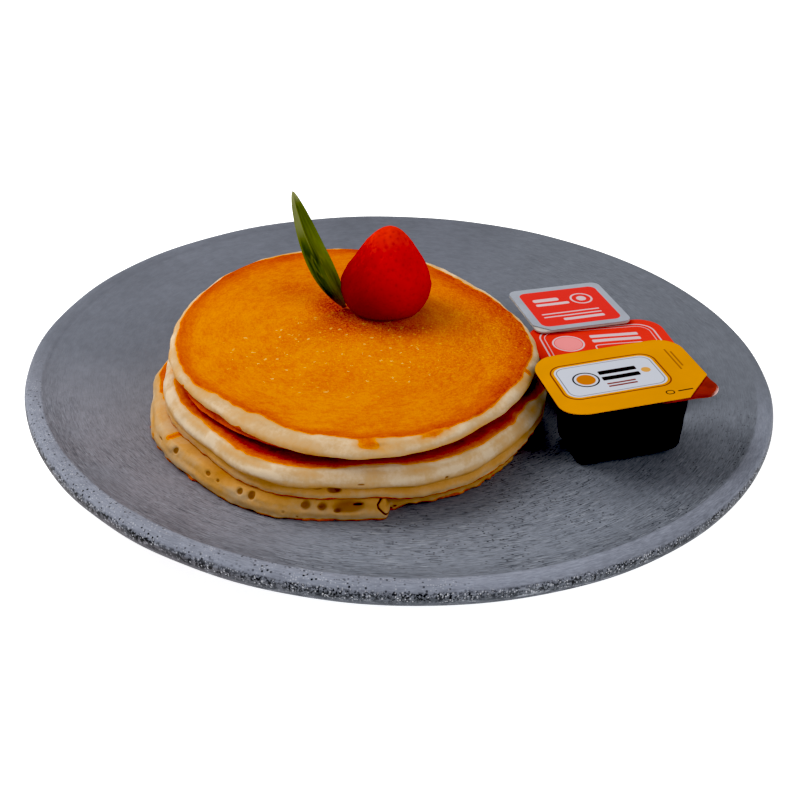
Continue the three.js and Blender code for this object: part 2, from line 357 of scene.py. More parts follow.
def finish_with(w, shader, color, roughness=None, height=None, strength=0.4, distance=0.0004):
    w.tree.links.new(color, shader.inputs["Base Color"])
    if roughness is not None:
        w.tree.links.new(roughness, shader.inputs["Roughness"])
    if height is not None:
        bump = w.add("ShaderNodeBump", {"Height": height, "Strength": strength, "Distance": distance})
        w.tree.links.new(bump.outputs[0], shader.inputs["Normal"])


# %% [markdown]
# ## The plate
# The plate is thrown or pressed stoneware with a shallow well and a soft bead for a rim. Turning
# one section round the middle makes it exactly round. The glaze is a blue-grey with short brushed
# strokes that follow the turning, and it breaks into black and white specks on the outer face,
# where it was thinnest. Noise read in polar coordinates draws the strokes: the radius counts fully
# and the angle only a little, so each lump of noise is stretched along its circle.

# %% Plate section
WELL = dict(floor=11.0, floor_radius=60.0, radius=131.0, rise=5.5)


def well_height(x, y):
    """floor + rise * ((r - floor radius) / (well radius - floor radius))^2 outside the flat floor."""
    reach = np.minimum(np.hypot(x, y), WELL["radius"]) - WELL["floor_radius"]
    way_out = np.maximum(0, reach) / (WELL["radius"] - WELL["floor_radius"])
    return WELL["floor"] + WELL["rise"] * way_out**2


def plate_section():
    """The section as (radius, height): foot, underside, the bead's curve, then the well."""
    foot = [(0.5, 4.5), (60, 4.5), (79, 4.5), (80.6, 3.9), (82, 0.5), (82.6, 0), (86, 0), (89.4, 0),
            (90, 0.5), (91.6, 3.9), (93.5, 4.7)]
    bead = [(128, 8.8), (134.2, 9.7), (136.2, 10.1), (137.8, 11.1), (138.6, 12.7), (138.8, 14.5),
            (138.5, 16.0), (137.8, 17.0), (136.8, 17.45), (135.2, 17.5), (133.6, 17.25), (132.4, 16.95),
            (131.3, 16.6), (130, 16.38)]
    well_radii = np.linspace(128.5, 2, 90)
    well = np.stack([well_radii, well_height(well_radii, 0)], -1)
    return np.vstack([foot, smooth_line(bead, 7), well])


section = plate_section()
PLATE_AROUND = 512
turn = angles(PLATE_AROUND)
plate_rings = np.stack([section[:, :1] * np.cos(turn), section[:, :1] * np.sin(turn),
                        np.repeat(section[:, 1:], len(turn), 1)], -1)
radius_of, height_of = section[:, 0], section[:, 1]
outer_face = step(radius_of, 134, 137.0) * step(height_of, 16.75, 15.9) * step(height_of, 7.6, 9.4)
bead_top = step(radius_of, 132.4, 133.4) * step(height_of, 14.6, 15.8)
wobble = ripple(plate_rings, 34, 3) * 0.1 * step(radius_of, 90, 130)[:, None]
stretched = np.broadcast_arrays(radius_of[:, None], 9 * np.cos(turn), 9 * np.sin(turn))
strokes = ripple(np.stack(stretched, -1), 2.6, 4)
wobble = wobble + 0.03 * strokes * (height_of > 10.5)[:, None]
plate_rings = push(plate_rings, wobble)
whole = np.ones(len(turn))
plate_values = {"outer_face": outer_face[:, None] * whole, "bead_top": bead_top[:, None] * whole}
plate_mesh = skin("plate_visual", plate_rings, plate_values)

# %% Stoneware glaze
def stoneware():
    material, w, shader = new_material("stoneware_glaze", Specular_IOR_Level=0.2)
    place = w.place()
    x, y, z = w.split(place)
    radius = w.vector("LENGTH", w.vector("MULTIPLY", place, (1, 1, 0)), result=1)
    angle_x, angle_y = w.math("DIVIDE", x, radius), w.math("DIVIDE", y, radius)

    def polar(stretch, shift=0.0):
        """Radius in metres, and the angle as a circle of radius 0.1 / stretch metres."""
        circle = 0.1 / stretch
        return w.join(w.total(radius, shift), w.product(angle_x, circle), w.product(angle_y, circle))

    edge, bead = w.read("outer_face"), w.read("bead_top")
    front, right = w.fade(y, 0.01, -0.09), w.fade(x, 0.0, 0.09)
    left_front = w.product(w.fade(x, -0.01, -0.07), front)
    front_bead = w.product(bead, w.fade(y, 0.0, -0.07))
    # painted shade: a darker band just inside the front of the bead, where a groove would lie in shade
    beside_bead = w.product(w.fade(radius, 0.123, 0.1305), w.math("SUBTRACT", front, front_bead))
    marked = w.fade(w.math("MAXIMUM", front, w.product(right, 0.3)), 0.0, 1.0, 0.14, 1.0)
    blurred = w.noise(polar(1.6), 2.6, 3.0, 0.6)
    clouds = w.noise(place, 24, 3.0, 0.55)
    warm = w.noise(place, 60, 2.0, shift=(0.3, 0.1, 0.2))
    where = w.noise(place, 26, 3.0, shift=(0.7, 0.2, 0.0))
    dark_noise = w.noise(polar(11.0), 0.36, 2.0, 0.6)
    pale_noise = w.noise(polar(13.0, 0.31), 0.34, 2.0, 0.6)
    grain = w.noise(polar(5.0, 0.62), 0.38, 2.0, 0.6)

    # the glaze, bluer behind, with painted light that makes the front of the bead paler;
    # then its lightness, with painted shade at the back, at the right front, beside the bead and on the
    # outer face
    color = w.paint(
        lit(119, 123, 134),
        (lit(122, 127, 136), right, 0.7),
        (lit(139, 145, 157), front, 0.9),
        (lit(134, 130, 138), w.fade(warm, 0.36, 0.58, 0.3, 0.9), left_front),
        # painted light on the front of the bead
        (lit(152, 157, 172), front_bead, 0.9))
    tone = w.total(
        w.fade(clouds, 0.25, 0.75, 0.94, 1.06), w.fade(blurred, 0.25, 0.75, -0.08, 0.08),
        w.product(w.fade(grain, 0.25, 0.75, -0.16, 0.16), marked), w.product(beside_bead, -0.2),
        # painted shade: darker at the back of the well and at its right front, by the syrup tub
        w.fade(y, 0.09, 0.13, 0.0, -0.09), w.product(w.fade(x, 0.045, 0.1), front, -0.15))
    # painted shade: the outer face is darker, most towards its lower edge
    tone = w.product(tone, w.without(w.product(edge, w.fade(z, 0.0144, 0.0122, 0.3, 0.46))))
    color = w.mix(1.0, color, w.join(tone, tone, tone), "MULTIPLY")

    # brushed strokes and dots in the well
    brushed = w.product(
        w.fade(where, 0.36, 0.58, 0.4, 1.0), marked, w.without(bead, 0.8),
        w.fade(x, -0.085, 0.02, 0.5, 0.9), w.fade(x, 0.08, 0.115, 1.0, 0.5))
    patchy = w.product(
        w.fade(where, 0.42, 0.6, 0.25, 1.0), w.fade(x, -0.06, 0.04, 0.3, 1.0),
        w.without(w.product(bead, w.fade(x, 0.0, 0.04))))
    color = w.paint(
        color,
        (shade(40, 44, 50), w.fade(dark_noise, 0.53, 0.64), brushed, 0.82),
        (shade(172, 177, 187), w.fade(pale_noise, 0.56, 0.68), brushed, 0.65),
        (shade(30, 32, 36), specks(w, polar(1.2), 0.95, 0.3, 0.36), front, patchy))

    # black clumps and white grains on the outer face, a few of both on the bead
    fine_clumps = w.noise(place, 0.75, 3.0, 0.62, shift=(0.2, 0.5, 0.1))
    large_clumps = w.noise(place, 1.4, 3.0, 0.62, shift=(0.2, 0.5, 0.1))
    clumps = w.mix(w.fade(x, -0.02, -0.06), fine_clumps, large_clumps)
    patches = w.noise(place, 7, 2.0)
    crowd = w.product(edge, w.fade(z, 0.0122, 0.0144, 0.15, 1.0), front)
    flecked = w.product(front_bead, w.fade(x, 0.05, -0.01, 0.1, 1.0), w.fade(patches, 0.36, 0.56, 0.3, 1.0))
    flecks = specks(w, place, 1.3, 0.5, 0.36, shift=(0.5, 0.1, 0.2))
    grains = specks(w, place, 0.7, 0.4, 0.44, shift=(0.1, 0.2, 0.3))
    clumped = w.product(w.fade(clumps, 0.47, 0.53), w.fade(patches, 0.36, 0.6, 0.6, 1.0), crowd)
    color = w.paint(
        color,
        (shade(14, 15, 18), w.math("MAXIMUM", clumped, w.product(flecks, flecked))),
        (shade(200, 202, 210), grains, w.fade(patches, 0.3, 0.6, 0.4, 0.85),
         w.math("MAXIMUM", crowd, w.product(flecked, 0.7))))
    roughness = w.fade(dark_noise, 0.2, 0.8, 0.5, 0.68)
    height = w.product(w.math("SUBTRACT", w.total(w.product(grain, 0.5), pale_noise), dark_noise), marked)
    finish_with(w, shader, color, roughness, height, strength=0.3, distance=0.0003)
    return material


stand_in(plate_mesh, "plate", stoneware())

# %% [markdown]
# ## The pancakes
# Batter runs out into an uneven round, browns where it touches the pan, and stays pale at the
# edge, which rises without touching metal. So each pancake is one closed skin with three zones: an
# underside that lies on what is below, a side that bulges, folds round its waist and tucks in under
# the crust, and the crust itself, a low dome. The outline is a circle with a few slow waves. The
# bubbles, tears and lumps are then pushed into the skin along its normals.
#
# The shade of a spot depends on how far it lies from the crust's margin, so every point stores that
# distance. The finish adds noise to it, which makes the margin ragged at a finer scale than the mesh.

# %% Pancake shapes
# Lengths are in mm and angles in degrees. {angle: value} is a smooth curve round the cake.
# waves: (crests, size, angle of a crest); lobes: (angle, width, size), swellings of the outline
# rim, slope: height of the crust's edge and its rise to the back; crown: rise of its middle
# upper_tuck, lower_tuck, bulge, crease (depth, share), fold: section of the side
# curl, lift: how far the lower edge stands off what is below it; sag: how far the crust's edge sinks
# torn: (start, end, depth, step in, step out); lip: (angle, width, size) of a swollen lower edge
# margin: how far the crust stops short of the upper edge, negative where it runs down the side
# lumps, ragged: size of the side's swellings and of the lower edge's; seed: of all that is random
# low_edge, low_toast: width and shade of the fried lower edge
# tan_up, tan_round: how dark the crumb is, by {height share: value} and by angle: browning, and painted
# shade low on the sides, in the creases and under the pancakes above
CAKES = {
    "pancake_bottom": dict(
        x=-17.5, y=-36.4, radius=67.6, waves=[(2, 2, 50), (5, 0.8, -22), (7, 0.8, -7)],
        lobes=[(166.7, 14, 8.4), (266, 16, -1.3), (318, 22, 2.6)],
        rim=20.2, slope=0.004, crown=0.9, upper_tuck=3.4, lower_tuck=0.5, curl=0.0, bulge=0.2,
        crease=(0.2, 0.6), fold={0: 1}, torn=(282.5, 372, 5, 3, 15), lip=(0, 10, 0.0),
        sag={279: 0, 291: 1.7, 322: 1.5, 345: 0.3, 360: 0},
        lift={286: 0, 291: 1.9, 298: 1.1, 312: 0.8, 330: 0.5, 350: 0},
        margin={0: 7, 90: 7, 158: 3, 166: 0.2, 173: -0.9, 183: -1.1, 188: 1, 196: 7, 270: 7},
        lumps=0.5, ragged=0.42, seed=100, low_toast=0.36,
        low_edge={0: 0.8, 90: 0.5, 180: 1.1, 210: 1.2, 235: 1, 260: 0.85, 285: 0.85, 320: 0.8},
        tan_up={0: 0.5, 0.15: 0.3, 0.35: 0.4, 0.7: 0.56, 1: 0.75},
        tan_round={0: 1.3, 90: 0.6, 185: 0.5, 212: 0.8, 235: 1, 284: 1, 300: 1.7, 335: 1.9, 360: 1.3}),
    "pancake_middle": dict(
        x=-17.3, y=-34.2, radius=67.6, waves=[(2, 0.9, -25), (3, 0.8, 32), (4, 0.8, -22), (7, 0.8, -5)],
        lobes=[(184, 26, -2.2), (225, 12, -1)],
        rim=29.6, slope=0.01, crown=1.2, upper_tuck=4.0, lower_tuck=0.6, curl=0.0, bulge=0.5,
        crease=(1.35, 0.35), fold={0: 1, 180: 0.3, 218: 0.3, 240: 1}, torn=None, lip=(0, 10, 0.0),
        sag={0: 0}, lift={0: 0},
        margin={5: -3, 30: -1, 60: -0.4, 120: 0, 175: 0.8, 190: 0.2, 197: -0.4, 203: -0.2, 210: -0.5,
                235: -0.4, 255: 0.1, 266: 0.3, 276: 1.3, 284: 1.2, 290: 0.2, 298: -0.3, 310: -0.2,
                320: -0.2, 328: -1, 334: 0, 340: 0.3, 347: -2, 354: -4},
        lumps=0.34, ragged=0.2, seed=200, low_toast=0.6,
        low_edge={0: 0.5, 90: 0.3, 180: 0.5, 240: 0.5, 300: 0.5, 320: 0.5},
        tan_up={0: 0.3, 0.1: 0.32, 0.2: 0.46, 0.33: 0.66, 0.45: 0.6, 0.58: 0.26, 0.7: 0.04, 0.8: 0.12,
                0.88: 0.26, 0.97: 0.14, 1: 0.25},
        tan_round={0: 1, 90: 0.6, 195: 0.6, 235: 1, 300: 1, 360: 1}),
    "pancake_top": dict(
        x=-17.9, y=-24.6, radius=67.9, waves=[(2, 4.4, -74), (3, 0.7, -7), (4, 1, 7), (5, 0.5, -8)],
        lobes=[(230, 16, -1.2)],
        rim=37.7, slope=0.026, crown=0.9, upper_tuck=3.8, lower_tuck=4.2, curl=1.4, bulge=0.42,
        crease=(0.3, 0.2), fold={0: 1}, torn=None, lip=(230, 24, 4.4), sag={0: 0}, lift={0: 0},
        margin={8: -1.6, 30: -0.6, 44: 1.3, 60: 1.5, 70: 0, 90: -0.6, 111: 0.8, 120: 0.8, 130: -0.8, 150: -1,
                166: -1.6, 187: -1.5, 208: -1.3, 218: -1.7, 229: 0, 239: 0.8, 246: 2.5, 254: 1.7, 260: 1.5,
                267: 2.7, 274: 2, 281: 2.4, 287: 1.4, 293: 0.6, 300: -0.3, 308: -1.1, 315: -1.8, 323: -1,
                329: -0.7, 336: -1.5, 342: -0.9, 350: -1.7},
        lumps=0.32, ragged=0.12, seed=300, low_toast=0.44,
        low_edge={0: 0.1, 190: 0.3, 205: 2.2, 215: 4.0, 240: 3.6, 252: 2.2, 262: 0.8, 275: 0.3, 290: 0.2},
        tan_up={0: 1.2, 0.12: 0.9, 0.3: 0.62, 0.5: 0.4, 0.72: 0.2, 1: 0.17}, tan_round={0: 1, 360: 1}),
}
CREASE_WIDTH, CURL_POWER, GAP = 0.11, 9, 0.12
CAKE_REACH = 66  # mm, about the radius of every pancake


def cake_outline(cake, angle):
    """radius + sum of size * cos(crests * (angle - turn)) + bell-shaped lobes, less a smooth step in
    where it is torn."""
    r = cake["radius"] + sum(s * np.cos(n * (angle - np.radians(t))) for n, s, t in cake["waves"])
    r = r + sum(size * bell(turned(angle, t), width) for t, width, size in cake["lobes"])
    if cake["torn"]:
        start, end, depth, step_in, step_out = cake["torn"]
        degrees = start + (np.degrees(angle) - start) % 360
        r = r - depth * step(degrees, start, start + step_in) * (1 - step(degrees, end - step_out, end))
    return r


def side_inset(cake, share, fold=1.0):
    """How far the side stands in from the outline at a height share, 0 at the bottom, 1 at the crust:
    a steep tuck above the bulge, a soft one below it, and a bell-shaped fold round the waist."""
    bulge, (depth, place) = cake["bulge"], cake["crease"]
    upper = np.maximum(0, share - bulge) / (1 - bulge)
    lower = np.maximum(0, bulge - share) / bulge
    waist = fold * depth * bell(share - place, CREASE_WIDTH)
    return cake["upper_tuck"] * upper**2.4 + cake["lower_tuck"] * lower**2 + waist


def crust_top(cake, x, y):
    """The tilted plane of the crust's edge plus crown * (1 - f^2), where f runs from 0 in the middle
    to 1 at the edge, less the sag of the outermost part."""
    angle = np.arctan2(y - cake["y"], x - cake["x"])
    reach = np.hypot(x - cake["x"], y - cake["y"])
    edge = cake_outline(cake, angle) - side_inset(cake, 1.0)
    dome = cake["crown"] * (1 - np.minimum(1, reach / edge) ** 2)
    plane = cake["rim"] + cake["slope"] * (y - cake["y"])
    return plane + dome - round_curve(cake["sag"], angle) * step(reach, 50, 64)


def round_curve(knots, angle):
    """Smooth closed curve through {degrees: value}, by cosine steps between neighbours."""
    keys = np.array(sorted(knots), float)
    heights = np.array([knots[k] for k in sorted(knots)], float)
    keys = np.append(keys, keys[0] + 360)
    heights = np.append(heights, heights[0])
    degrees = (np.degrees(angle) - keys[0]) % 360 + keys[0]
    i = np.clip(np.searchsorted(keys, degrees, side="right") - 1, 0, len(keys) - 2)
    t = (degrees - keys[i]) / (keys[i + 1] - keys[i])
    return heights[i] + (heights[i + 1] - heights[i]) * (0.5 - 0.5 * np.cos(np.pi * t))


# %% [markdown]
# Bubbles, tears and stray patches of crust sit at their own places on the side. Each is given by
# its angle, its height share, and its size along and up the side. The distance from such a spot is
# an ellipse's: the square root of (along / width)^2 + (up / height)^2.

# %% Spots on the sides
# (angle, share, half width, half height, depth, darkness of the painted shade inside), in degrees, share of
# the side, and mm
BUBBLES = {
    "pancake_bottom": [
        (216.0, 0.78, 1.3, 1.0, 0.6, 0.65), (230.8, 0.8, 1.4, 0.7, 0.5, 0.55),
        (235.0, 0.77, 0.9, 0.5, 0.4, 0.55), (243.2, 0.79, 1.3, 0.9, 0.7, 0.65),
        (246.8, 0.8, 1.4, 1.3, 0.8, 0.65), (261.5, 0.76, 2.0, 1.6, 0.6, 0.42),
        (261.1, 0.77, 1.3, 1.1, 0.4, 0.6), (265.8, 0.72, 2.0, 1.4, 0.8, 0.45),
        (265.6, 0.71, 1.3, 0.9, 0.4, 0.72), (272.8, 0.7, 6.8, 2.1, 1.1, 0.42),
        (275.4, 0.8, 2.2, 0.5, 0.5, 1.0), (270.0, 0.56, 1.5, 0.7, 0.5, 0.75),
        (207.0, 0.66, 1.6, 0.35, 0.5, 0.6), (256.0, 0.4, 0.7, 0.5, 0.2, 0.3),
        (259.6, 0.22, 0.6, 0.4, 0.2, 0.4), (284.8, 0.14, 1.3, 0.8, 0.3, 0.9),
        (286.4, 0.24, 0.9, 0.5, 0.3, 0.8)],
    "pancake_middle": [
        (268.8, 0.34, 2.8, 0.85, 0.4, 0.66), (269.6, 0.33, 1.5, 0.45, 0.3, 0.76),
        (264.4, 0.37, 1.7, 0.4, 0.3, 0.6), (275.8, 0.62, 1.5, 0.35, 0.3, 0.5),
        (299.2, 0.53, 0.8, 0.7, 0.5, 0.6)],
    "pancake_top": [],
}
# cracks on the side: lines of (angle, share)
CRACKS = {
    "pancake_bottom": [[(282.2, 1.0), (280.8, 0.75), (280.9, 0.6), (282.4, 0.36), (284.2, 0.2)],
                       [(282.2, 1.0), (284.6, 0.92), (288.0, 0.84)]],
    "pancake_middle": [], "pancake_top": [],
}
# (angle, share, half width, half height) of crust that lies alone on the pale side
ISLANDS = {
    "pancake_bottom": [
        (210.2, 0.98, 1.5, 1.0), (196.0, 0.2, 1.6, 0.5), (201.5, 0.34, 1.0, 0.6), (288.4, 0.7, 2.6, 1.1)],
    "pancake_middle": [(186.0, 1.0, 2.6, 0.8)],
    "pancake_top": [(277.6, 1.0, 3.1, 0.75), (295.5, 0.985, 4.6, 0.6), (340.4, 0.82, 1.5, 0.9)],
}


def side_distance(cake, angle, share, height, spot):
    """Distance from a spot on the side, 1 at its edge."""
    spot_angle, spot_share, width, tall = spot[:4]
    along = np.radians(turned(angle, spot_angle)) * cake["radius"]
    return np.hypot(along / width, (share - spot_share) * height / tall)


def crack_distance(cake, angle, share, height, line):
    """Distance in mm from a chain of straight lines on the side, unrolled flat."""
    nearest = np.full(share.shape, 99.0)
    for (start, low), (end, high) in zip(line, line[1:]):
        along = np.radians(turned(angle, start)) * cake["radius"]
        up = (share - low) * height
        run, rise = math.radians(end - start) * cake["radius"], (high - low) * height
        t = np.clip((along * run + up * rise) / (run**2 + rise**2), 0, 1)
        nearest = np.minimum(nearest, np.hypot(along - t * run, up - t * rise))
    return nearest


# %% [markdown]
# `pancake_rings` lays out the rings: the underside from its middle outwards, the side from the
# lower edge to the upper one, and the crust from its edge inwards. `make_pancake` gives the points
# the numbers the finish needs: `margin`, the distance from the crust's margin in mm (positive on the
# crust); `toast_and_shade`, how dark the crust is fried, which on the middle pancake is also painted shade
# under the top one; `tan`, how dark the crumb is, browned and with painted shade and painted
# highlights; and `pit`, painted shade in the hollows of bubbles and cracks.

# %% Pancake skin
AROUND = 880
EVEN = angles(AROUND)
CAKE_TURN = EVEN - 0.4 * np.cos(EVEN)  # points lie closer together at the front, where the detail is
SIDE_SHARES = np.concatenate([[0, 0.012, 0.03, 0.055], np.linspace(0.085, 0.94, 32), [0.965, 0.985]])
UNDER_FRACTIONS = np.array([0.2, 0.5, 0.75, 0.86, 0.92, 0.96, 0.98, 0.992])
CRUST_FRACTIONS = np.concatenate([[1.0, 0.996, 0.991, 0.985], np.linspace(0.977, 0.9, 9),
                                  np.linspace(0.885, 0.05, 46)])


def circle_place(angle, radius, height):
    """A place on an upright cylinder, where noise runs along the side at the same pace all round."""
    return np.stack(np.broadcast_arrays(radius * np.cos(angle), radius * np.sin(angle), height), -1)


def pancake_rings(cake, support):
    """Rings of a pancake that lies on `support`, a height function, and the height share of each."""
    angle = CAKE_TURN[None, :]
    circle = circle_place(angle, CAKE_REACH, 0)
    rough_edge = cake["ragged"] * (ripple(circle, 4.5, 11) + 0.4 * ripple(circle, 1.8, 12))
    lip_turn, lip_width, lip_size = cake["lip"]
    lip = lip_size * bell(turned(angle, lip_turn), lip_width)
    fold = round_curve(cake["fold"], angle)
    curl = cake["curl"] + round_curve(cake["lift"], angle)

    def ring(share, fraction):
        low_edge = rough_edge * bell(share, 0.13) + lip * bell(share - 0.02, 0.11)
        r = fraction * (cake_outline(cake, angle) - side_inset(cake, share, fold) + low_edge)
        return cake["x"] + r * np.cos(angle), cake["y"] + r * np.sin(angle)

    f = UNDER_FRACTIONS[:, None]
    x, y = ring(0.0, f)
    under = np.stack([x, y, support(x, y) + GAP + curl * f**CURL_POWER], -1)
    s = SIDE_SHARES[:, None]
    x, y = ring(s, 1.0)
    low = support(*ring(0.0, 1.0)) + GAP + curl
    side = np.stack([x, y, low + s * (crust_top(cake, *ring(1.0, 1.0)) - low)], -1)
    x, y = ring(1.0, CRUST_FRACTIONS[:, None])
    crust = np.stack([x, y, crust_top(cake, x, y)], -1)
    share = np.concatenate([np.zeros(len(under)), SIDE_SHARES, np.ones(len(crust))])[:, None]
    return np.concatenate([under, side, crust]), np.broadcast_to(share, (len(share), AROUND))


def make_pancake(name, support, toasting):
    """A whole pancake on `support`, a height function; toasting(margin, angle, rings) says how dark
    its crust is."""
    cake = CAKES[name]
    seed, tan_up = cake["seed"], cake["tan_up"]
    rings, share = pancake_rings(cake, support)
    angle = np.broadcast_to(CAKE_TURN, share.shape)
    first_side, first_crust = len(UNDER_FRACTIONS), len(UNDER_FRACTIONS) + len(SIDE_SHARES)
    pieces = np.linalg.norm(np.diff(rings, axis=0), axis=-1)
    along = np.concatenate([np.zeros((1, AROUND)), np.cumsum(pieces, 0)])
    from_rim = along - along[first_crust]
    from_low = np.abs(along - along[first_side])
    height = rings[first_crust, :, 2] - rings[first_side, :, 2]
    on_side = step(share, 0.0, 0.1) * step(share, 1.0, 0.93)

    circle = circle_place(angle, CAKE_REACH, share * 6)
    pillows = ripple(circle, 6.5, seed + 8)
    relief = 0.16 * step(share, 0.35, 0.85) * step(share, 1.0, 0.96) * pillows
    swellings = 0.7 * ripple(rings * [1, 1, 0.6], 12, seed) + 0.22 * ripple(rings * [1, 1, 1.6], 5, seed + 1)
    relief = relief + cake["lumps"] * on_side * swellings
    face = step(from_rim, 0.0, 2.5)
    relief = relief + face * (ripple(rings, 22, seed + 3) * 0.16 + ripple(rings, 5, seed + 4) * 0.035)
    # pit: painted shade in the hollows of bubbles and cracks
    pit = np.zeros_like(share)
    for spot in BUBBLES[name]:
        dip = step(side_distance(cake, angle, share, height, spot), 1.15, 0.45) * on_side
        relief = relief - spot[4] * dip
        pit = np.maximum(pit, dip * spot[5])
    for line in CRACKS[name]:
        groove = step(crack_distance(cake, angle, share, height, line), 0.45, 0.1) * step(share, 0, 0.1)
        relief = relief - 0.45 * groove
        pit = np.maximum(pit, groove)

    margin = from_rim - round_curve(cake["margin"], angle) + 0.26 * ripple(circle, 6.5, seed + 9)
    for spot in ISLANDS[name]:
        reach = (1 - side_distance(cake, angle, share, height, spot)) * spot[3]
        margin = np.maximum(margin, reach)
    under = np.arange(len(share))[:, None] < first_side
    line_width = round_curve(cake["low_edge"], angle) * (1 + 0.35 * ripple(circle, 4, seed + 10))
    low_margin = np.where(under, from_low + 0.3, 3 * (line_width - from_low))
    toast_and_shade = np.where(low_margin > margin, cake["low_toast"], toasting(margin, angle, rings))
    margin = np.maximum(margin, low_margin)
    # tan is browning and painted shade: darker low on the sides, in the middle pancake's crease and under
    # the pancakes above
    tan = np.interp(share, sorted(tan_up), [tan_up[k] for k in sorted(tan_up)])
    long_folds = ripple(circle_place(angle, 20, share * 9), 5.0, seed + 13)
    relief = relief + 0.16 * long_folds * on_side
    tan = tan * round_curve(cake["tan_round"], angle) + 0.09 * ripple(rings * [1, 1, 2], 11, seed + 5)
    # painted highlights: the crumb is paler where the long folds and pillows bulge out
    tan = tan - (0.14 * long_folds + 0.06 * pillows) * step(share, 0.3, 0.6)
    moved = push(rings, relief)
    moved[..., 2] = np.maximum(moved[..., 2], np.where(under, rings[..., 2], -1))
    x, y = rings[..., 0] - cake["x"], rings[..., 1] - cake["y"]
    swirl = np.stack([np.hypot(x, y), 20 * np.cos(angle), 20 * np.sin(angle)], -1) * MM
    values = {"margin": margin, "toast_and_shade": toast_and_shade, "tan": tan, "pit": pit, "swirl": swirl,
              "marks": crust_marks(name, rings)}
    return skin(name + "_visual", moved, values)


def crust_marks(name, rings):
    """Where the top crust carries large pale flecks, small yellow ones, and coarse dark grain."""
    x, y = rings[..., 0], rings[..., 1]
    large = mound(x, y, (-22, -42), (36, 25))
    small = np.maximum(mound(x, y, (20, -26), (32, 24)), 0.6 * large)
    near_berry = 0.75 * np.minimum(1, berry_patch(x, y))
    grainy = np.maximum(near_berry, 0.45 * mound(x, y, (32, -18), (26, 40)))
    return np.stack([large, small, grainy], -1) * (name == "pancake_top")


BERRY_SPOT = (-6.2, -6.3)  # where the berry stands, in mm


def mound(x, y, centre, size):
    """exp(-(dx / size_x)^2 - (dy / size_y)^2), a soft oval bump of height 1."""
    return bell(np.hypot((x - centre[0]) / size[0], (y - centre[1]) / size[1]), 1.0)


def berry_patch(x, y):
    """The darker patch in front of the berry and to its left, as overlapping bumps."""
    near = 0.7 * mound(x, y, (-22, -20), (13, 11)) + 0.7 * mound(x, y, (-3, -22), (17, 7))
    left = 1.3 * mound(x, y, (-25, -6), (8, 9)) + 0.5 * mound(x, y, (-41, 6), (8, 7))
    return np.minimum(1.5, near + left)


# %% Browning by distance
def toast_low(margin, angle, rings):
    """Darker inwards, and at the foot of the torn end."""
    return 0.3 + 0.3 * step(margin, 1, 5) + 0.2 * bell(turned(angle, 287.6), 4) + 0.06 * ripple(rings, 6, 41)


def toast_and_shade_middle(margin, angle, rings):
    """Darker inwards, under the top pancake: browning and painted shade; paler patches at the left."""
    left = bell(turned(angle, 190), 14)
    right = bell(turned(angle, 352), 14)
    # painted shade in part: the inward darkening also stands for the shade under the top pancake
    inwards = 0.3 + 0.46 * step(margin, 0.3, 4.5)
    return inwards * (1 - 0.4 * left) + 0.2 * right + 0.05 * ripple(rings, 5, 42)


def toast_top(margin, angle, rings):
    """A thin deep-orange ring inside the margin that widens at the sides and the back, golden in the
    middle, and a darker patch round and left of the berry."""
    back = step(np.sin(angle), -0.5, 0.7)
    right = bell(turned(angle, 350), 45)
    width = 2.2 + 5 * back + 7 * right + 2 * bell(turned(angle, 185), 25)
    ring = 1 - step(margin, 0.6, width + 2.5)
    x, y = rings[..., 0], rings[..., 1]
    broad = 0.09 * step(x, -15, 40) + 0.09 * step(y, -20, 35)
    return (0.1 + 0.27 * ring + 0.36 * berry_patch(x, y) + broad + 0.04 * ripple(rings, 16, 43)
            + 0.015 * ripple(rings, 5, 44))


bottom, middle, top = (CAKES[k] for k in ("pancake_bottom", "pancake_middle", "pancake_top"))
bottom_mesh = make_pancake("pancake_bottom", well_height, toast_low)
middle_mesh = make_pancake("pancake_middle", lambda x, y: crust_top(bottom, x, y), toast_and_shade_middle)
top_mesh = make_pancake("pancake_top", lambda x, y: crust_top(middle, x, y), toast_top)

# %% [markdown]
# ## The pancake's finish
# The crust runs from gold through orange and caramel to nearly black, as sugar browns, and the
# crumb from cream to a dull tan. Near the margin the crust fades through yellow within half a
# millimetre. Small pale flecks are spots where the batter's bubbles kept it off the pan. Fine streaks
# run round the pancake: the noise is read at a place whose angle counts less than its radius.

# %% Crust and crumb
CRUST_SHADES = [(0.0, lit(243, 152, 0)), (0.22, lit(230, 120, 0)), (0.45, lit(213, 88, 0)),
                (0.68, lit(180, 44, 0)), (1.0, lit(96, 12, 0))]
CRUMB_SHADES = [(0.0, lit(240, 215, 182)), (0.13, lit(226, 189, 142)), (0.34, lit(226, 167, 89)),
                (0.62, lit(208, 140, 53)), (1.0, lit(150, 62, 12))]


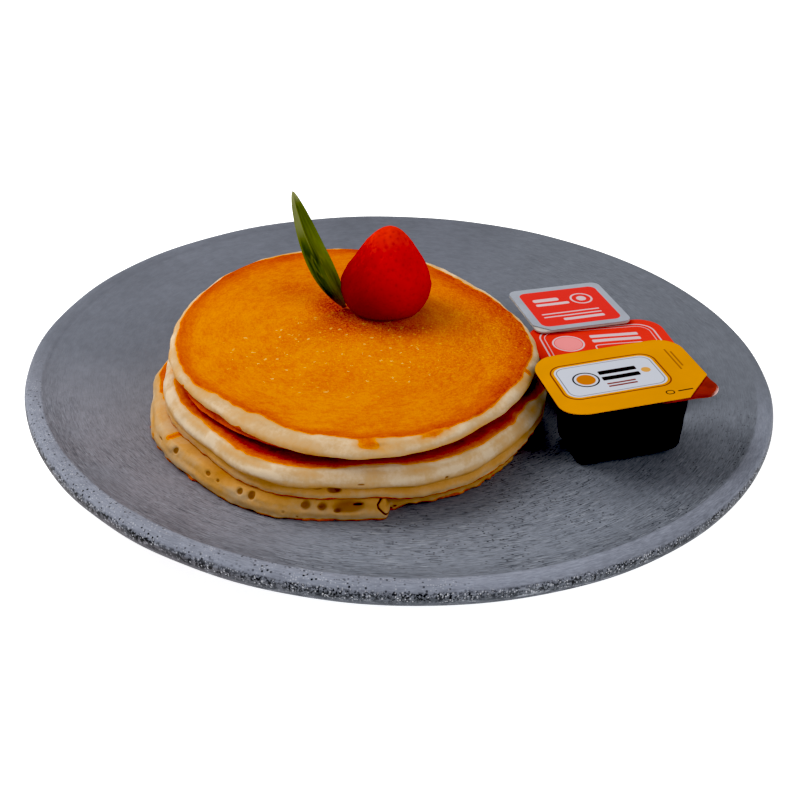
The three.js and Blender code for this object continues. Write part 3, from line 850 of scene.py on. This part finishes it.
def pancake_finish():
    material, w, shader = new_material("fried_batter", Specular_IOR_Level=0.015)
    place = w.place()
    margin, toast_and_shade, tan, pit = (w.read(k) for k in ("margin", "toast_and_shade", "tan", "pit"))
    swirl = w.read("swirl", vector=True)
    large, small, grainy = w.split(w.read("marks", vector=True))
    fine = w.noise(place, 0.9, 2.0, 0.6)
    grit = w.noise(place, 0.42, 2.0, 0.7)
    streaks = w.noise(swirl, 0.9, 3.0, 0.65)
    mottle = w.noise(swirl, 2.6, 2.0, 0.5)
    pores = w.noise(place, 1.6, 2.0, 0.6, shift=(0.4, 0.1, 0.2))
    ragged = w.total(margin, w.fade(w.noise(place, 3.0, 1.0, 0.4), 0.3, 0.7, -0.16, 0.16))
    crust_mask = w.fade(ragged, -0.22, 0.2)
    fried = w.total(
        w.product(toast_and_shade, w.fade(ragged, 0.05, 0.9, 0.1, 1.0)),
        w.fade(streaks, 0.25, 0.75, -0.09, 0.09), w.fade(mottle, 0.25, 0.75, -0.05, 0.05),
        w.product(w.fade(grit, 0.3, 0.7, -0.06, 0.06), w.total(w.product(grainy, 3.2), 1.0)),
        w.product(w.fade(fine, 0.3, 0.7, -0.04, 0.04), w.total(w.product(grainy, 4.0), 1.0)))
    nudge = w.add("ShaderNodeTexNoise", {"Vector": place, "Scale": 900.0}).outputs[1]
    loose = w.vector("ADD", place, w.vector("MULTIPLY", nudge, (0.0026, 0.0026, 0.0026)))
    tiny = specks(w, loose, 1.5, 0.42, 0.3, shift=(0.2, 0.3, 0.1))
    spots = w.product(specks(w, loose, 3.2, 0.66, 0.26), w.fade(fine, 0.36, 0.56, 0.25, 1.0))
    crust = w.paint(
        w.ramp(fried, CRUST_SHADES),
        (lit(250, 184, 40), tiny, w.fade(small, 0.08, 0.6), 0.75),
        (lit(250, 204, 112), spots, w.fade(large, 0.12, 0.5), 0.8))
    crumb = w.paint(
        w.ramp(w.total(w.product(tan, 0.6), w.fade(pores, 0.3, 0.7, -0.035, 0.035)), CRUMB_SHADES),
        (lit(232, 160, 60), w.fade(margin, -0.9, -0.1, 0.0, 0.45)))
    color = w.paint(
        w.mix(crust_mask, crumb, crust),
        # painted shade in the hollows of bubbles and cracks
        (lit(150, 90, 28), w.fade(pit, 0.1, 0.5, 0.0, 0.85)),
        (lit(48, 22, 6), w.fade(pit, 0.55, 0.95, 0.0, 0.95)))
    roughness = w.total(w.fade(grit, 0.2, 0.8, 0.48, 0.62), w.product(crust_mask, -0.04))
    bumps = w.total(w.product(fine, 0.6), w.product(grit, 0.5), w.product(pores, 0.5))
    finish_with(w, shader, color, roughness, bumps, strength=0.35, distance=0.0004)
    return material


FRIED_BATTER = pancake_finish()
for mesh_piece, node in zip((bottom_mesh, middle_mesh, top_mesh), CAKES):
    stand_in(mesh_piece, node, FRIED_BATTER)

# %% [markdown]
# ## The strawberry
# A hulled strawberry stands on its cut end: a round shoulder below and a blunt cone above. Its
# section is a quarter ellipse and then a rounded cone, turned once round. The seeds lie in shallow
# dimples, spaced by the golden angle as on the fruit, so no rows show. Each point's dimple is found
# from its distance to the nearest seed.

# %% Strawberry
BERRY = dict(x=BERRY_SPOT[0], y=BERRY_SPOT[1], radius=16.3, height=32.0, base=10.2, shoulder=0.31,
             fullness=1.33, roundness=1.66)
BERRY_RINGS, BERRY_AROUND, SEEDS = 150, 260, 190
GOLDEN_ANGLE = np.pi * (3 - math.sqrt(5))


def berry_radius(share):
    """Below the shoulder: base + (R - base) * sqrt(1 - (1 - s / shoulder)^2). Above it, with c from 0
    to 1: R * (1 - c^fullness)^(1 / roundness)."""
    b = BERRY
    short_of = 1 - np.minimum(share / b["shoulder"], 1)
    low = b["base"] + (b["radius"] - b["base"]) * np.sqrt(np.maximum(0, 1 - short_of**2))
    climb = np.clip((share - b["shoulder"]) / (1 - b["shoulder"]), 0, 1)
    high = b["radius"] * np.maximum(0, 1 - climb ** b["fullness"]) ** (1 / b["roundness"])
    return np.where(share < b["shoulder"], low, high)


def berry_points(share, angle):
    r = berry_radius(share) * (1 + 0.018 * np.cos(2 * angle + 0.6) + 0.014 * np.cos(3 * angle))
    r = r * (1 - 0.09 * np.maximum(0, -np.cos(angle)) * bell(share - 0.7, 0.22))
    r = r * (1 - 0.05 * np.maximum(0, np.cos(angle)) * bell(share - 0.82, 0.2))
    lean = np.stack([1.7 * share**2 - 0.6, 0.0 * share, 0.0 * share], -1)
    return np.stack([r * np.cos(angle), r * np.sin(angle), share * BERRY["height"]], -1) + lean


def make_strawberry():
    bend = math.atan(top["slope"])
    shares = np.sin(np.linspace(0.02, np.pi / 2, BERRY_RINGS)) ** 1.15
    shares = np.clip(shares, 0.004, 0.9995)
    angle, share = np.broadcast_arrays(angles(BERRY_AROUND)[None, :], shares[:, None])
    local = berry_points(share, angle)
    number = np.arange(SEEDS)
    seeds = berry_points(0.06 + 0.92 * (number / SEEDS) ** 0.85, number * GOLDEN_ANGLE)
    nearest = np.full(share.shape, 99.0)
    for seed in seeds:
        nearest = np.minimum(nearest, np.linalg.norm(local - seed, axis=-1))
    lumps = (0.14 * ripple(local, 9, 61) + 0.07 * ripple(local, 3, 62)) * step(share, 0.99, 0.9)
    local = push(local, lumps - 0.05 * bell(nearest, 0.9) + 0.02 * bell(nearest, 0.38))
    tilt = np.array(Matrix.Rotation(bend, 3, "X"))
    ground = crust_top(top, BERRY["x"], BERRY["y"])
    rings = local @ tilt.T + [BERRY["x"], BERRY["y"], ground + 0.1]
    rings[..., 2] = np.maximum(rings[..., 2], ground - 0.05)
    # painted shade: darker on the left and towards the bottom
    shaded_side = step(np.cos(angle - np.radians(20)) + 1.3 * (share - 0.3), 0.35, -0.9)
    return skin("strawberry_visual", rings, {"seed": bell(nearest, 0.42), "dimple": bell(nearest, 0.95),
                                             "height_share": share, "shaded_side": shaded_side})


def berry_finish():
    material, w, shader = new_material("strawberry_skin", Specular_IOR_Level=0.0)
    place, height_share = w.place(), w.read("height_share")
    cloud = w.noise(place, 9, 3.0)
    color = w.paint(
        lit(236, 44, 34),
        (lit(224, 40, 30), w.fade(cloud, 0.3, 0.7)),
        # painted shade: darker towards the bottom
        (lit(176, 8, 4), w.fade(height_share, 0.62, 0.12, 0.0, 0.7)),
        # painted shade on the left, low side
        (lit(132, 0, 0), w.read("shaded_side"), 0.8),
        # painted highlights: pale blotches on the upper part
        (lit(255, 72, 52), w.fade(w.noise(place, 2.4, 3.0, 0.6), 0.5, 0.62),
         w.fade(height_share, 0.35, 0.8, 0.0, 0.28)),
        # painted light: paler towards the top
        (lit(255, 76, 54), w.fade(height_share, 0.66, 1.0, 0.0, 0.5)),
        (lit(120, 0, 0), w.fade(w.noise(place, 1.6, 2.0, 0.6), 0.5, 0.75, 0.0, 0.16)),
        # painted shade in the dimples
        (lit(150, 2, 2), w.read("dimple"), 0.08),
        (lit(96, 10, 4), w.read("seed"), 0.2))
    roughness = w.fade(cloud, 0.3, 0.7, 0.3, 0.42)
    finish_with(w, shader, color, roughness, w.noise(place, 1.2, 2.0), strength=0.12, distance=0.0003)
    return material


strawberry_mesh = make_strawberry()
stand_in(strawberry_mesh, "strawberry", berry_finish())

# %% [markdown]
# ## The leaf
# A single narrow leaf stands beside the berry, folded along its midrib and twisted a little towards
# the tip. Each ring is a flat loop: over the upper face from one edge to the other, and back along
# the lower face. Long low folds run along the blade, so the noise that makes them is stretched
# along it.

# %% Leaf
LEAF = dict(base=(-21.3, -8.6, 39.4), tip=(-40.3, -2.6, 81.2), bow=(-0.8, -1.5, -1.0), width=9.0,
            widest=0.42, fold=2.0, thick=0.7)
LEAF_RINGS, LEAF_ACROSS = 120, 33


def make_leaf():
    """Middle line: base + share * (tip - base) + bow * sin(pi share). Half width: width / 2 *
    sin(pi share^0.8), to the power 0.6 above the widest place. The halves lift by fold * |side|."""
    base, tip, bow = (np.array(LEAF[k]) for k in ("base", "tip", "bow"))
    along = tip - base
    across = np.array([1.0, 0, 0]) - along * along[0] / (along @ along)
    across /= np.linalg.norm(across)
    outward = np.cross(across, along)
    outward /= np.linalg.norm(outward)
    share = np.linspace(0, 1, LEAF_RINGS)[:, None]
    loop = np.linspace(-1, 1, LEAF_ACROSS)
    side = np.concatenate([loop, loop[-2:0:-1]])[None, :]
    face = np.concatenate([np.ones(LEAF_ACROSS), -np.ones(LEAF_ACROSS - 2)])[None, :]
    swell = np.maximum(0.0, np.sin(np.pi * share**0.8)) ** np.where(share < LEAF["widest"], 0.85, 0.6)
    swell = np.maximum(swell, 0.16 * (1 - share) + 0.02)
    twist = 0.35 * np.sin(np.pi * share) * side
    half = LEAF["width"] / 2 * swell
    middle_line = base + share[..., None] * along + np.sin(np.pi * share)[..., None] * bow
    lift = np.abs(side) ** 1.2 * LEAF["fold"] * swell * 0.9 + twist * 0.6
    flat = np.stack(np.broadcast_arrays(4.5 * side, 5.5 * share, 0.0 * share * side), -1)
    folds = ripple(flat, 2.2, 72)
    region = bell(share - 0.4, 0.2) * bell(side + 0.12, 0.62)
    rib = bell(ripple(flat * [1, 0.7, 1], 1.9, 73), 0.09) * region
    rib = np.maximum(rib, bell(side + 0.3 + 0.06 * np.sin(9 * share), 0.06) * step(share, 0.45, 0.6))
    edge = np.sqrt(np.maximum(0, 1 - np.abs(side) ** 6))
    thickness = LEAF["thick"] / 2 * (0.35 + 0.65 * edge) * step(share, 1.0, 0.9)
    waves = 0.15 * ripple(middle_line + 0 * side[..., None], 9, 71)
    relief = lift + waves + face * (thickness + 0.14 * folds * swell + 0.2 * rib * swell)
    rings = middle_line + (half * side)[..., None] * across + relief[..., None] * outward
    shape = rings.shape[:2]
    values = {"folds": folds, "rib": rib, "leaf_share": share, "leaf_side": side}
    return skin("leaf_visual", rings, {key: np.broadcast_to(value, shape) for key, value in values.items()})


def leaf_finish():
    material, w, shader = new_material("leaf_green", IOR=1.4, Specular_IOR_Level=0.1)
    place = w.place()
    share, side, folds = w.read("leaf_share"), w.read("leaf_side"), w.read("folds")
    along_blade = w.join(side, w.product(share, 0.9))
    streak = w.add("ShaderNodeTexNoise", {"Vector": along_blade, "Scale": 6.0, "Detail": 3.0}).outputs[0]
    cloud = w.noise(place, 5, 3.0)
    left = w.fade(side, -0.22, -0.34)
    fold_line = w.fade(w.math("ABSOLUTE", w.total(side, 0.14)), 0.1, 0.0)
    color = w.paint(
        shade(98, 114, 24),
        (shade(84, 100, 16), w.fade(streak, 0.35, 0.62)),
        # painted highlights on the crests of the folds, painted shade in their troughs
        (shade(114, 132, 44), w.fade(folds, 0.1, 0.9, 0.0, 0.45)),
        (shade(40, 54, 0), w.fade(folds, -0.1, -0.9), w.fade(share, 0.7, 0.45, 0.1, 0.75)),
        (shade(44, 62, 0), left, w.fade(share, 0.72, 0.5, 0.0, 0.6)),
        # painted highlight along the upper left edge
        (shade(142, 150, 96), left, w.fade(share, 0.6, 0.78, 0.0, 0.85)),
        (shade(122, 134, 40), w.fade(side, -0.78, -0.95), w.fade(share, 0.1, 0.4), 0.6),
        # painted highlight along the right edge
        (shade(124, 146, 76), w.fade(side, 0.45, 0.95), w.fade(share, 0.75, 0.5), 0.5),
        # painted shade in the fold along the midrib
        (shade(60, 44, 0), fold_line, w.fade(share, 0.4, 0.75), 0.55),
        # pale veins, and painted highlights on the raised crinkles
        (shade(146, 156, 84), w.read("rib"), 0.65),
        (shade(172, 176, 122), w.fade(share, 0.88, 1.0, 0.0, 0.75)),
        (shade(122, 104, 28), w.fade(share, 0.16, 0.0)))
    roughness = w.fade(cloud, 0.3, 0.7, 0.42, 0.55)
    finish_with(w, shader, color, roughness, w.noise(place, 1.1, 2.0), strength=0.25, distance=0.0003)
    return material


leaf_mesh = make_leaf()
stand_in(leaf_mesh, "leaf", leaf_finish())

# %% [markdown]
# ## The portion packs
# A pack is a thin tub, drawn from sheet over a mould, with a flat flange all round and a printed
# foil lid sealed to it. Each ring is a rectangle with round corners, given by how far it is drawn
# in and how high it lies, in the pack's own millimetres. One lid corner is sliced off, as it is
# where the sheet of packs was cut apart. The whole pack is then leaned and turned into its place.

# %% Pack rings
PACKS = {
    "syrup": dict(x=73.9, y=-53.4, z=40.4, yaw=14, lean_x=1, lean_y=-4.5, width=53, depth=38, height=26.9,
                  corner=8.5, cut=("right", 11.2), wall=5.8, base=7.5, base_edge=3.2, tip=1.3),
    "jam": dict(x=76.4, y=-7, z=26.5, yaw=10, lean_x=0, lean_y=-2, width=53, depth=38, height=14.4,
                corner=9, cut=None, wall=4.4, base=7.5, base_edge=2.4, tip=0),
    "butter": dict(x=65.9, y=23.3, z=27.8, yaw=15.4, lean_x=0, lean_y=-2, width=39, depth=36, height=15.6,
                   corner=3.4, cut=("left", 5.6), wall=6.6, base=9.6, base_edge=2.2, tip=0),
}
CORNER_STEPS, EDGE_STEPS = 12, 22


def rectangle_ring(half_width, half_depth, corner, cut=None):
    """Round cornered rectangle, anticlockwise from its rear right corner. A cut corner is a straight
    line between two points instead of an arc."""
    t = np.linspace(0, 1, CORNER_STEPS + 1)
    s = np.arange(1, EDGE_STEPS)[:, None] / EDGE_STEPS
    arcs = []
    for index, (sx, sy) in enumerate([(1, 1), (-1, 1), (-1, -1), (1, -1)]):
        turn_at = (index + t) * np.pi / 2
        arc = np.stack([sx * (half_width - corner) + corner * np.cos(turn_at),
                        sy * (half_depth - corner) + corner * np.sin(turn_at)], -1)
        if cut and index == {"left": 2, "right": 3}[cut[0]]:
            on_side = np.array([sx * half_width, cut[1] - half_depth])
            on_front = np.array([sx * (half_width - cut[1]), -half_depth])
            start, end = (on_side, on_front) if sx < 0 else (on_front, on_side)
            arc = start * (1 - t[:, None]) + end * t[:, None]
        arcs.append(arc)
    edges = [arcs[k][-1] * (1 - s) + arcs[(k + 1) % 4][0] * s for k in range(4)]
    return np.concatenate([points for pair in zip(arcs, edges) for points in pair])


def tub_ring(pack, inset, height):
    corner = max(1.0, pack["corner"] - inset * 0.5)
    flat = rectangle_ring(pack["width"] / 2 - inset, pack["depth"] / 2 - inset, corner)
    return np.column_stack([flat, np.full(len(flat), height)])


def into_place(pack, points):
    """Turns by yaw about Z, then leans about Y and X, then moves to the pack's place."""
    turns = (("lean_x", "X"), ("lean_y", "Y"), ("yaw", "Z"))
    x, y, z = (Matrix.Rotation(math.radians(pack[key]), 3, axis) for key, axis in turns)
    return points @ np.array(x @ y @ z).T + [pack["x"], pack["y"], pack["z"]]


def make_tub(name, droop):
    """Rings from the base's middle, over its round lower edge, up the wall and out to the flange."""
    pack = PACKS[name]
    low, edge, base, wall = -pack["height"], pack["base_edge"], pack["base"], pack["wall"]
    top, under = -0.42, -1.3  # the faces of the flange
    foot, head = low + edge, under - 0.5  # the ends of the straight wall
    quarter = np.linspace(0, np.pi / 2, 9)
    rows = [(base + edge + (pack["depth"] / 2 - base - edge) * f, low) for f in (0.9, 0.6, 0.3)]
    rows += [(base + edge * (1 - math.sin(q)), low + edge * (1 - math.cos(q))) for q in quarter]
    rows += [(base + (wall - base) * f, foot + (head - foot) * f) for f in np.linspace(0.05, 1, 14)]
    rows += [(wall - 0.3, under - 0.12), (wall - 0.9, under), (wall * 0.5, under), (0.5, under),
             (0.08, under + 0.08), (0.0, under + 0.25), (0.0, top - 0.25), (0.1, top - 0.05),
             (0.5, top), (2.5, top), (wall, top)]

    def on_flange(height):
        return step(height, under - 1.2, under - 0.2)

    rings = np.stack([tub_ring(pack, inset, height) for inset, height in rows])
    rings = push(rings, 0.12 * ripple(rings, 8, 81) * step(rings[..., 2], under - 0.4, under - 2))
    corner_reach = rings[..., 0] - rings[..., 1]
    tip = step(corner_reach, 36.5, 40.5)
    rings[..., :2] += pack["tip"] * tip[..., None] * np.array([1, -1])
    rings[..., 2] -= droop(rings[..., 0], rings[..., 1]) * on_flange(rings[..., 2])
    flange = on_flange(np.array([height for _, height in rows]))[:, None]
    # tip also places a painted glint on the flange's tip
    values = {"flange": flange * step(corner_reach, 24, 30), "tip": step(tip, 0.93, 1.0)}
    return skin(name + "_tub_visual", into_place(pack, rings), values)


def make_lid(name, droop):
    """A thin sheet: the outline below, the same above, then copies of it shrunk to the middle. The
    sheet sags 0.15 mm inside the seal, dimples a little, and droops at its edge by droop(x, y)."""
    pack = PACKS[name]
    outline = rectangle_ring(pack["width"] / 2, pack["depth"] / 2, pack["corner"], pack["cut"])
    shrink = [0.999, 0.993, 0.985, *np.linspace(0.975, 0.86, 10), *np.linspace(0.84, 0.04, 22)]
    rows = [(f, -0.3) for f in (0.3, 0.7, 0.985)] + [(1.0, -0.25), (1.0, -0.08)] + [(f, 0.0) for f in shrink]
    rings = np.stack([np.column_stack([outline * f, np.full(len(outline), z)]) for f, z in rows])
    fraction = np.array([f for f, _ in rows])[:, None]
    seal = -0.08 * step(fraction, 0.9, 0.82)
    crinkle = 0.05 * ripple(rings, 14, 91 + len(name)) + 0.012 * ripple(rings, 5, 95 + len(name))
    bend = seal + crinkle * step(fraction, 1.0, 0.93) - droop(rings[..., 0], rings[..., 1]) - 0.05
    rings[..., 2] += np.minimum(bend, 0.12)
    return skin(name + "_lid_visual", into_place(pack, rings), {"spot": rings})


# %% [markdown]
# ## The packs' finishes
# The syrup tub is clear plastic, nearly black with what it holds; only its thin flange lets red-brown
# light through. The other two tubs are milky. Each lid is foil under ink: plain panels, bars, rings
# and discs are laid on in order, each as a mask from `printed_shape`. The foil's dimples show in
# the ink and the bare foil alike.

# %% Tub finishes
def dark_tub_finish():
    material, w, shader = new_material("syrup_tub_plastic", Roughness=0.3, IOR=1.35, Specular_IOR_Level=0.12)
    streak = w.noise(w.place(), 6, 2.0)
    red = w.paint(
        shade(154, 46, 24),
        (shade(118, 36, 20), w.fade(streak, 0.3, 0.7)),
        # painted highlight: a pale glint on the flange's tip
        (shade(222, 186, 180), w.read("tip"), 0.8))
    color = w.mix(w.read("flange"), rgba(shade(5, 3, 2)), red)
    finish_with(w, shader, color, w.fade(streak, 0.3, 0.7, 0.25, 0.36))
    return material


def pale_tub_finish():
    material, w, shader = new_material("milky_tub_plastic", Roughness=0.35)
    streak = w.noise(w.place(), 7, 2.0)
    color = w.paint(shade(204, 198, 192), (shade(184, 178, 172), w.fade(streak, 0.3, 0.7)))
    finish_with(w, shader, color, w.fade(streak, 0.3, 0.7, 0.3, 0.42))
    return material


# %% Printed lids
def lid_finish(name, field, prints, metal=None):
    """Ink colour `field` with prints laid on in order. Each print is (centre, half, corner, line,
    colour): an outline if line is above 0, else a filled shape."""
    material, w, shader = new_material(name, Specular_IOR_Level=0.03)
    spot = w.read("spot", vector=True)
    place = w.place()
    cloud = w.noise(place, 12, 2.0)
    color = w.paint(field, (times(field, 0.93), w.fade(cloud, 0.3, 0.7)))
    ink = None
    for centre, half, corner, line, tint in prints:
        inputs = {"Place": spot, "Centre": (*centre, 0), "Half": (*half, 0), "Corner": corner,
                  "Line": max(line, 0.1)}
        shape = group_node(w, PRINTED_SHAPE, inputs)["Outline" if line > 0 else "Inside"]
        color = w.paint(color, (tint, shape))
        ink = shape if ink is None else ink
    crinkle = w.noise(place, 2.4, 3.0, 0.55)
    roughness = w.fade(crinkle, 0.2, 0.8, 0.34, 0.5)
    finish_with(w, shader, color, roughness, crinkle, strength=0.15, distance=0.0003)
    if metal is not None:
        w.tree.links.new(w.product(w.without(ink), metal), shader.inputs["Metallic"])
    return material


AMBER, BRONZE, CREAM = lit(238, 160, 6), lit(176, 108, 4), lit(214, 218, 228)
COCOA, RUST = lit(34, 22, 22), lit(140, 56, 40)
SYRUP_PRINT = [
    ((-4, 0.8), (17.4, 9.8), 4.0, 0.0, CREAM), ((-4, 0.8), (18.5, 10.9), 5.0, 0.5, RUST),
    ((-4, 0.8), (16.6, 9.0), 3.4, 0.25, lit(120, 116, 126)),
    ((-12.5, 0.8), (3.2, 3.2), 3.2, 0.0, lit(214, 128, 30)), ((-12.5, 0.8), (4.3, 4.3), 4.3, 0.55, COCOA),
    ((-0.5, 3.6), (6.6, 1.15), 0.4, 0.0, COCOA), ((-0.5, -0.2), (6.6, 1.15), 0.4, 0.0, COCOA),
    ((-1.8, -3.6), (5.0, 0.4), 0.3, 0.0, RUST), ((-1.8, -5.2), (5.0, 0.4), 0.3, 0.0, RUST),
    ((8.8, 1.2), (1.6, 1.6), 1.6, 0.0, lit(226, 170, 90)),
    ((20.2, 5.0), (0.3, 7.0), 0.2, 0.0, BRONZE), ((21.6, 5.0), (0.3, 5.0), 0.2, 0.0, BRONZE),
    ((10.5, -14.4), (1.3, 1.0), 0.9, 0.4, COCOA), ((15.8, -14.4), (2.6, 0.3), 0.2, 0.0, COCOA),
]
JAM_RED, JAM_PALE = lit(244, 66, 48), lit(226, 204, 208)
JAM_PRINT = [
    ((0, 0), (22.5, 15.2), 6.5, 0.6, JAM_PALE), ((0, 0), (20.9, 13.6), 5.2, 0.3, JAM_PALE),
    ((-13, 4), (5.2, 5.2), 5.2, 0.0, shade(236, 150, 150)), ((-13, 4), (5.8, 5.8), 5.8, 0.7, JAM_PALE),
    ((6, 8), (9.5, 1.1), 0.6, 0.0, JAM_PALE), ((6, 4.4), (9.5, 1.1), 0.6, 0.0, JAM_PALE),
    ((6, -2), (9.5, 3.2), 1.5, 0.5, JAM_PALE), ((-4, -10), (12, 0.5), 0.4, 0.0, JAM_PALE),
]
BUTTER_RED = lit(238, 64, 54)
BUTTER_PRINT = [
    ((0.2, -0.1), (16.4, 14.9), 3.0, 0.0, BUTTER_RED),
    ((-7, 7), (5.4, 1.3), 1.0, 0.0, JAM_PALE), ((-5.4, 3.2), (7, 1.0), 0.8, 0.0, JAM_PALE),
    ((7.5, 5.2), (4.2, 4.2), 4.2, 0.8, JAM_PALE), ((7.5, 5.2), (2.0, 2.0), 2.0, 0.0, JAM_PALE),
    ((-1, -4.8), (12, 0.45), 0.3, 0.0, JAM_PALE), ((-1, -7.4), (12, 0.45), 0.3, 0.0, JAM_PALE),
    ((2.5, -10.4), (8.5, 1.0), 0.8, 0.0, JAM_PALE),
]


def no_droop(x, y):
    return 0 * x


def left_droop(x, y):
    """The left end bends down by up to 0.5 mm."""
    return 0.5 * step(x, -20, -27)


TUB_FINISHES = {"syrup": dark_tub_finish()}
TUB_FINISHES["jam"] = TUB_FINISHES["butter"] = pale_tub_finish()
LID_FINISHES = {
    "syrup": lid_finish("syrup_lid_print", AMBER, SYRUP_PRINT),
    "jam": lid_finish("jam_lid_print", JAM_RED, JAM_PRINT),
    "butter": lid_finish("butter_lid_print", lit(196, 202, 213), BUTTER_PRINT, metal=0.35),
}
SHARP = math.radians(38)  # edges that turn more than this stay crisp
for name in PACKS:
    droop = left_droop if name == "syrup" else no_droop
    tub, lid = make_tub(name, droop), make_lid(name, droop)
    for piece in (tub, lid):
        piece.data.set_sharp_from_angle(angle=SHARP)
    stand_in(tub, name + "_tub", TUB_FINISHES[name])
    stand_in(lid, name + "_lid", LID_FINISHES[name])

# %% [markdown]
# ## Floor, light and camera
# The plate stands on a plain white sheet, lit by large soft lamps, the way food is shot for a menu:
# the sheet is bright enough to go nearly white, so only the shadow close under the rim is left. The
# main lamp hangs high on the left and a little behind, which gives the stack bright upper edges and
# a soft shadow in front. The deepest shade is shown as black, so the reds and browns stay rich.

# %% Floor
def white_sheet():
    material, w, shader = new_material("white_sheet", Roughness=0.9, Specular_IOR_Level=0.1,
                                       Emission_Strength=0.78, Emission_Color=(1, 1, 1, 1))
    cloud = w.noise(w.place(), 160, 2.0)
    finish_with(w, shader, w.paint((0.93, 0.93, 0.93), ((0.9, 0.9, 0.9), w.fade(cloud, 0.2, 0.8))))
    return material


FAR = 6  # metres from the plate to the sheet's edges
floor_mesh = bpy.data.meshes.new("floor")
floor_mesh.from_pydata([(-FAR, -FAR, 0), (FAR, -FAR, 0), (FAR, FAR, 0), (-FAR, FAR, 0)], [], [(0, 1, 2, 3)])
floor = bpy.data.objects.new("floor", floor_mesh)
bpy.context.scene.collection.objects.link(floor)
floor_mesh.materials.append(white_sheet())

# %% Lamps
DEEPEST = 0.022  # light below this is shown as black


def aimed(place, right, up, back):
    """The matrix that stands something at a place, with these three directions as its axes."""
    return Matrix.Translation(tuple(place)) @ Matrix((right, up, back)).transposed().to_4x4()


def softbox(name, azimuth, elevation, distance, size, power):
    """Square lamp that points at the stack. Azimuth 0 is the front and 90 the right, in degrees."""
    lamp = bpy.data.lights.new(name, "AREA")
    lamp.shape, lamp.size, lamp.energy = "SQUARE", size, power
    a, e = math.radians(azimuth), math.radians(elevation)
    out = np.array([math.sin(a) * math.cos(e), -math.cos(a) * math.cos(e), math.sin(e)])
    side = np.cross([0, 0, 1.0], out)
    side = side / np.linalg.norm(side)
    stand = bpy.data.objects.new(name, lamp)
    stand.matrix_world = aimed(out * distance, side, np.cross(out, side), out)
    bpy.context.scene.collection.objects.link(stand)


softbox("main_lamp", 250, 47, 1.1, 0.6, 7.3)
softbox("back_lamp", 195, 60, 1.1, 0.5, 1.6)
softbox("right_lamp", 60, 35, 1.3, 0.7, 3.5)
world = bpy.data.worlds.new("white_room")
world.use_nodes = True
background = world.node_tree.nodes["Background"].inputs
background["Color"].default_value = (1.0, 1.0, 1.0, 1.0)
background["Strength"].default_value = 0.35
bpy.context.scene.world = world
view = bpy.context.scene.view_settings
view.view_transform = "Standard"
view.use_curve_mapping = True
view.curve_mapping.black_level = (DEEPEST, DEEPEST, DEEPEST)
view.curve_mapping.update()

# %% Camera
# The camera stands 0.43 m from the middle of the plate and looks down at it at 31 degrees.
LENS, SENSOR = 49.5, 36.0
EYE = np.array([0.28, -371.88, 220.52]) * MM
RIGHT, DOWN = np.array([0.99932, 0.01907, 0.03147]), np.array([0.0368, -0.51798, -0.8546])
RIGHT = RIGHT / np.linalg.norm(RIGHT)
FORWARD = np.cross(RIGHT, DOWN)
FORWARD = FORWARD / np.linalg.norm(FORWARD)
DOWN = np.cross(FORWARD, RIGHT)
camera_data = bpy.data.cameras.new("camera")
camera_data.lens, camera_data.sensor_width = LENS, SENSOR
camera_data.clip_start, camera_data.clip_end = 0.01, 50
camera = bpy.data.objects.new("camera", camera_data)
camera.matrix_world = aimed(EYE, RIGHT, -DOWN, -FORWARD)
bpy.context.scene.collection.objects.link(camera)
bpy.context.scene.camera = camera
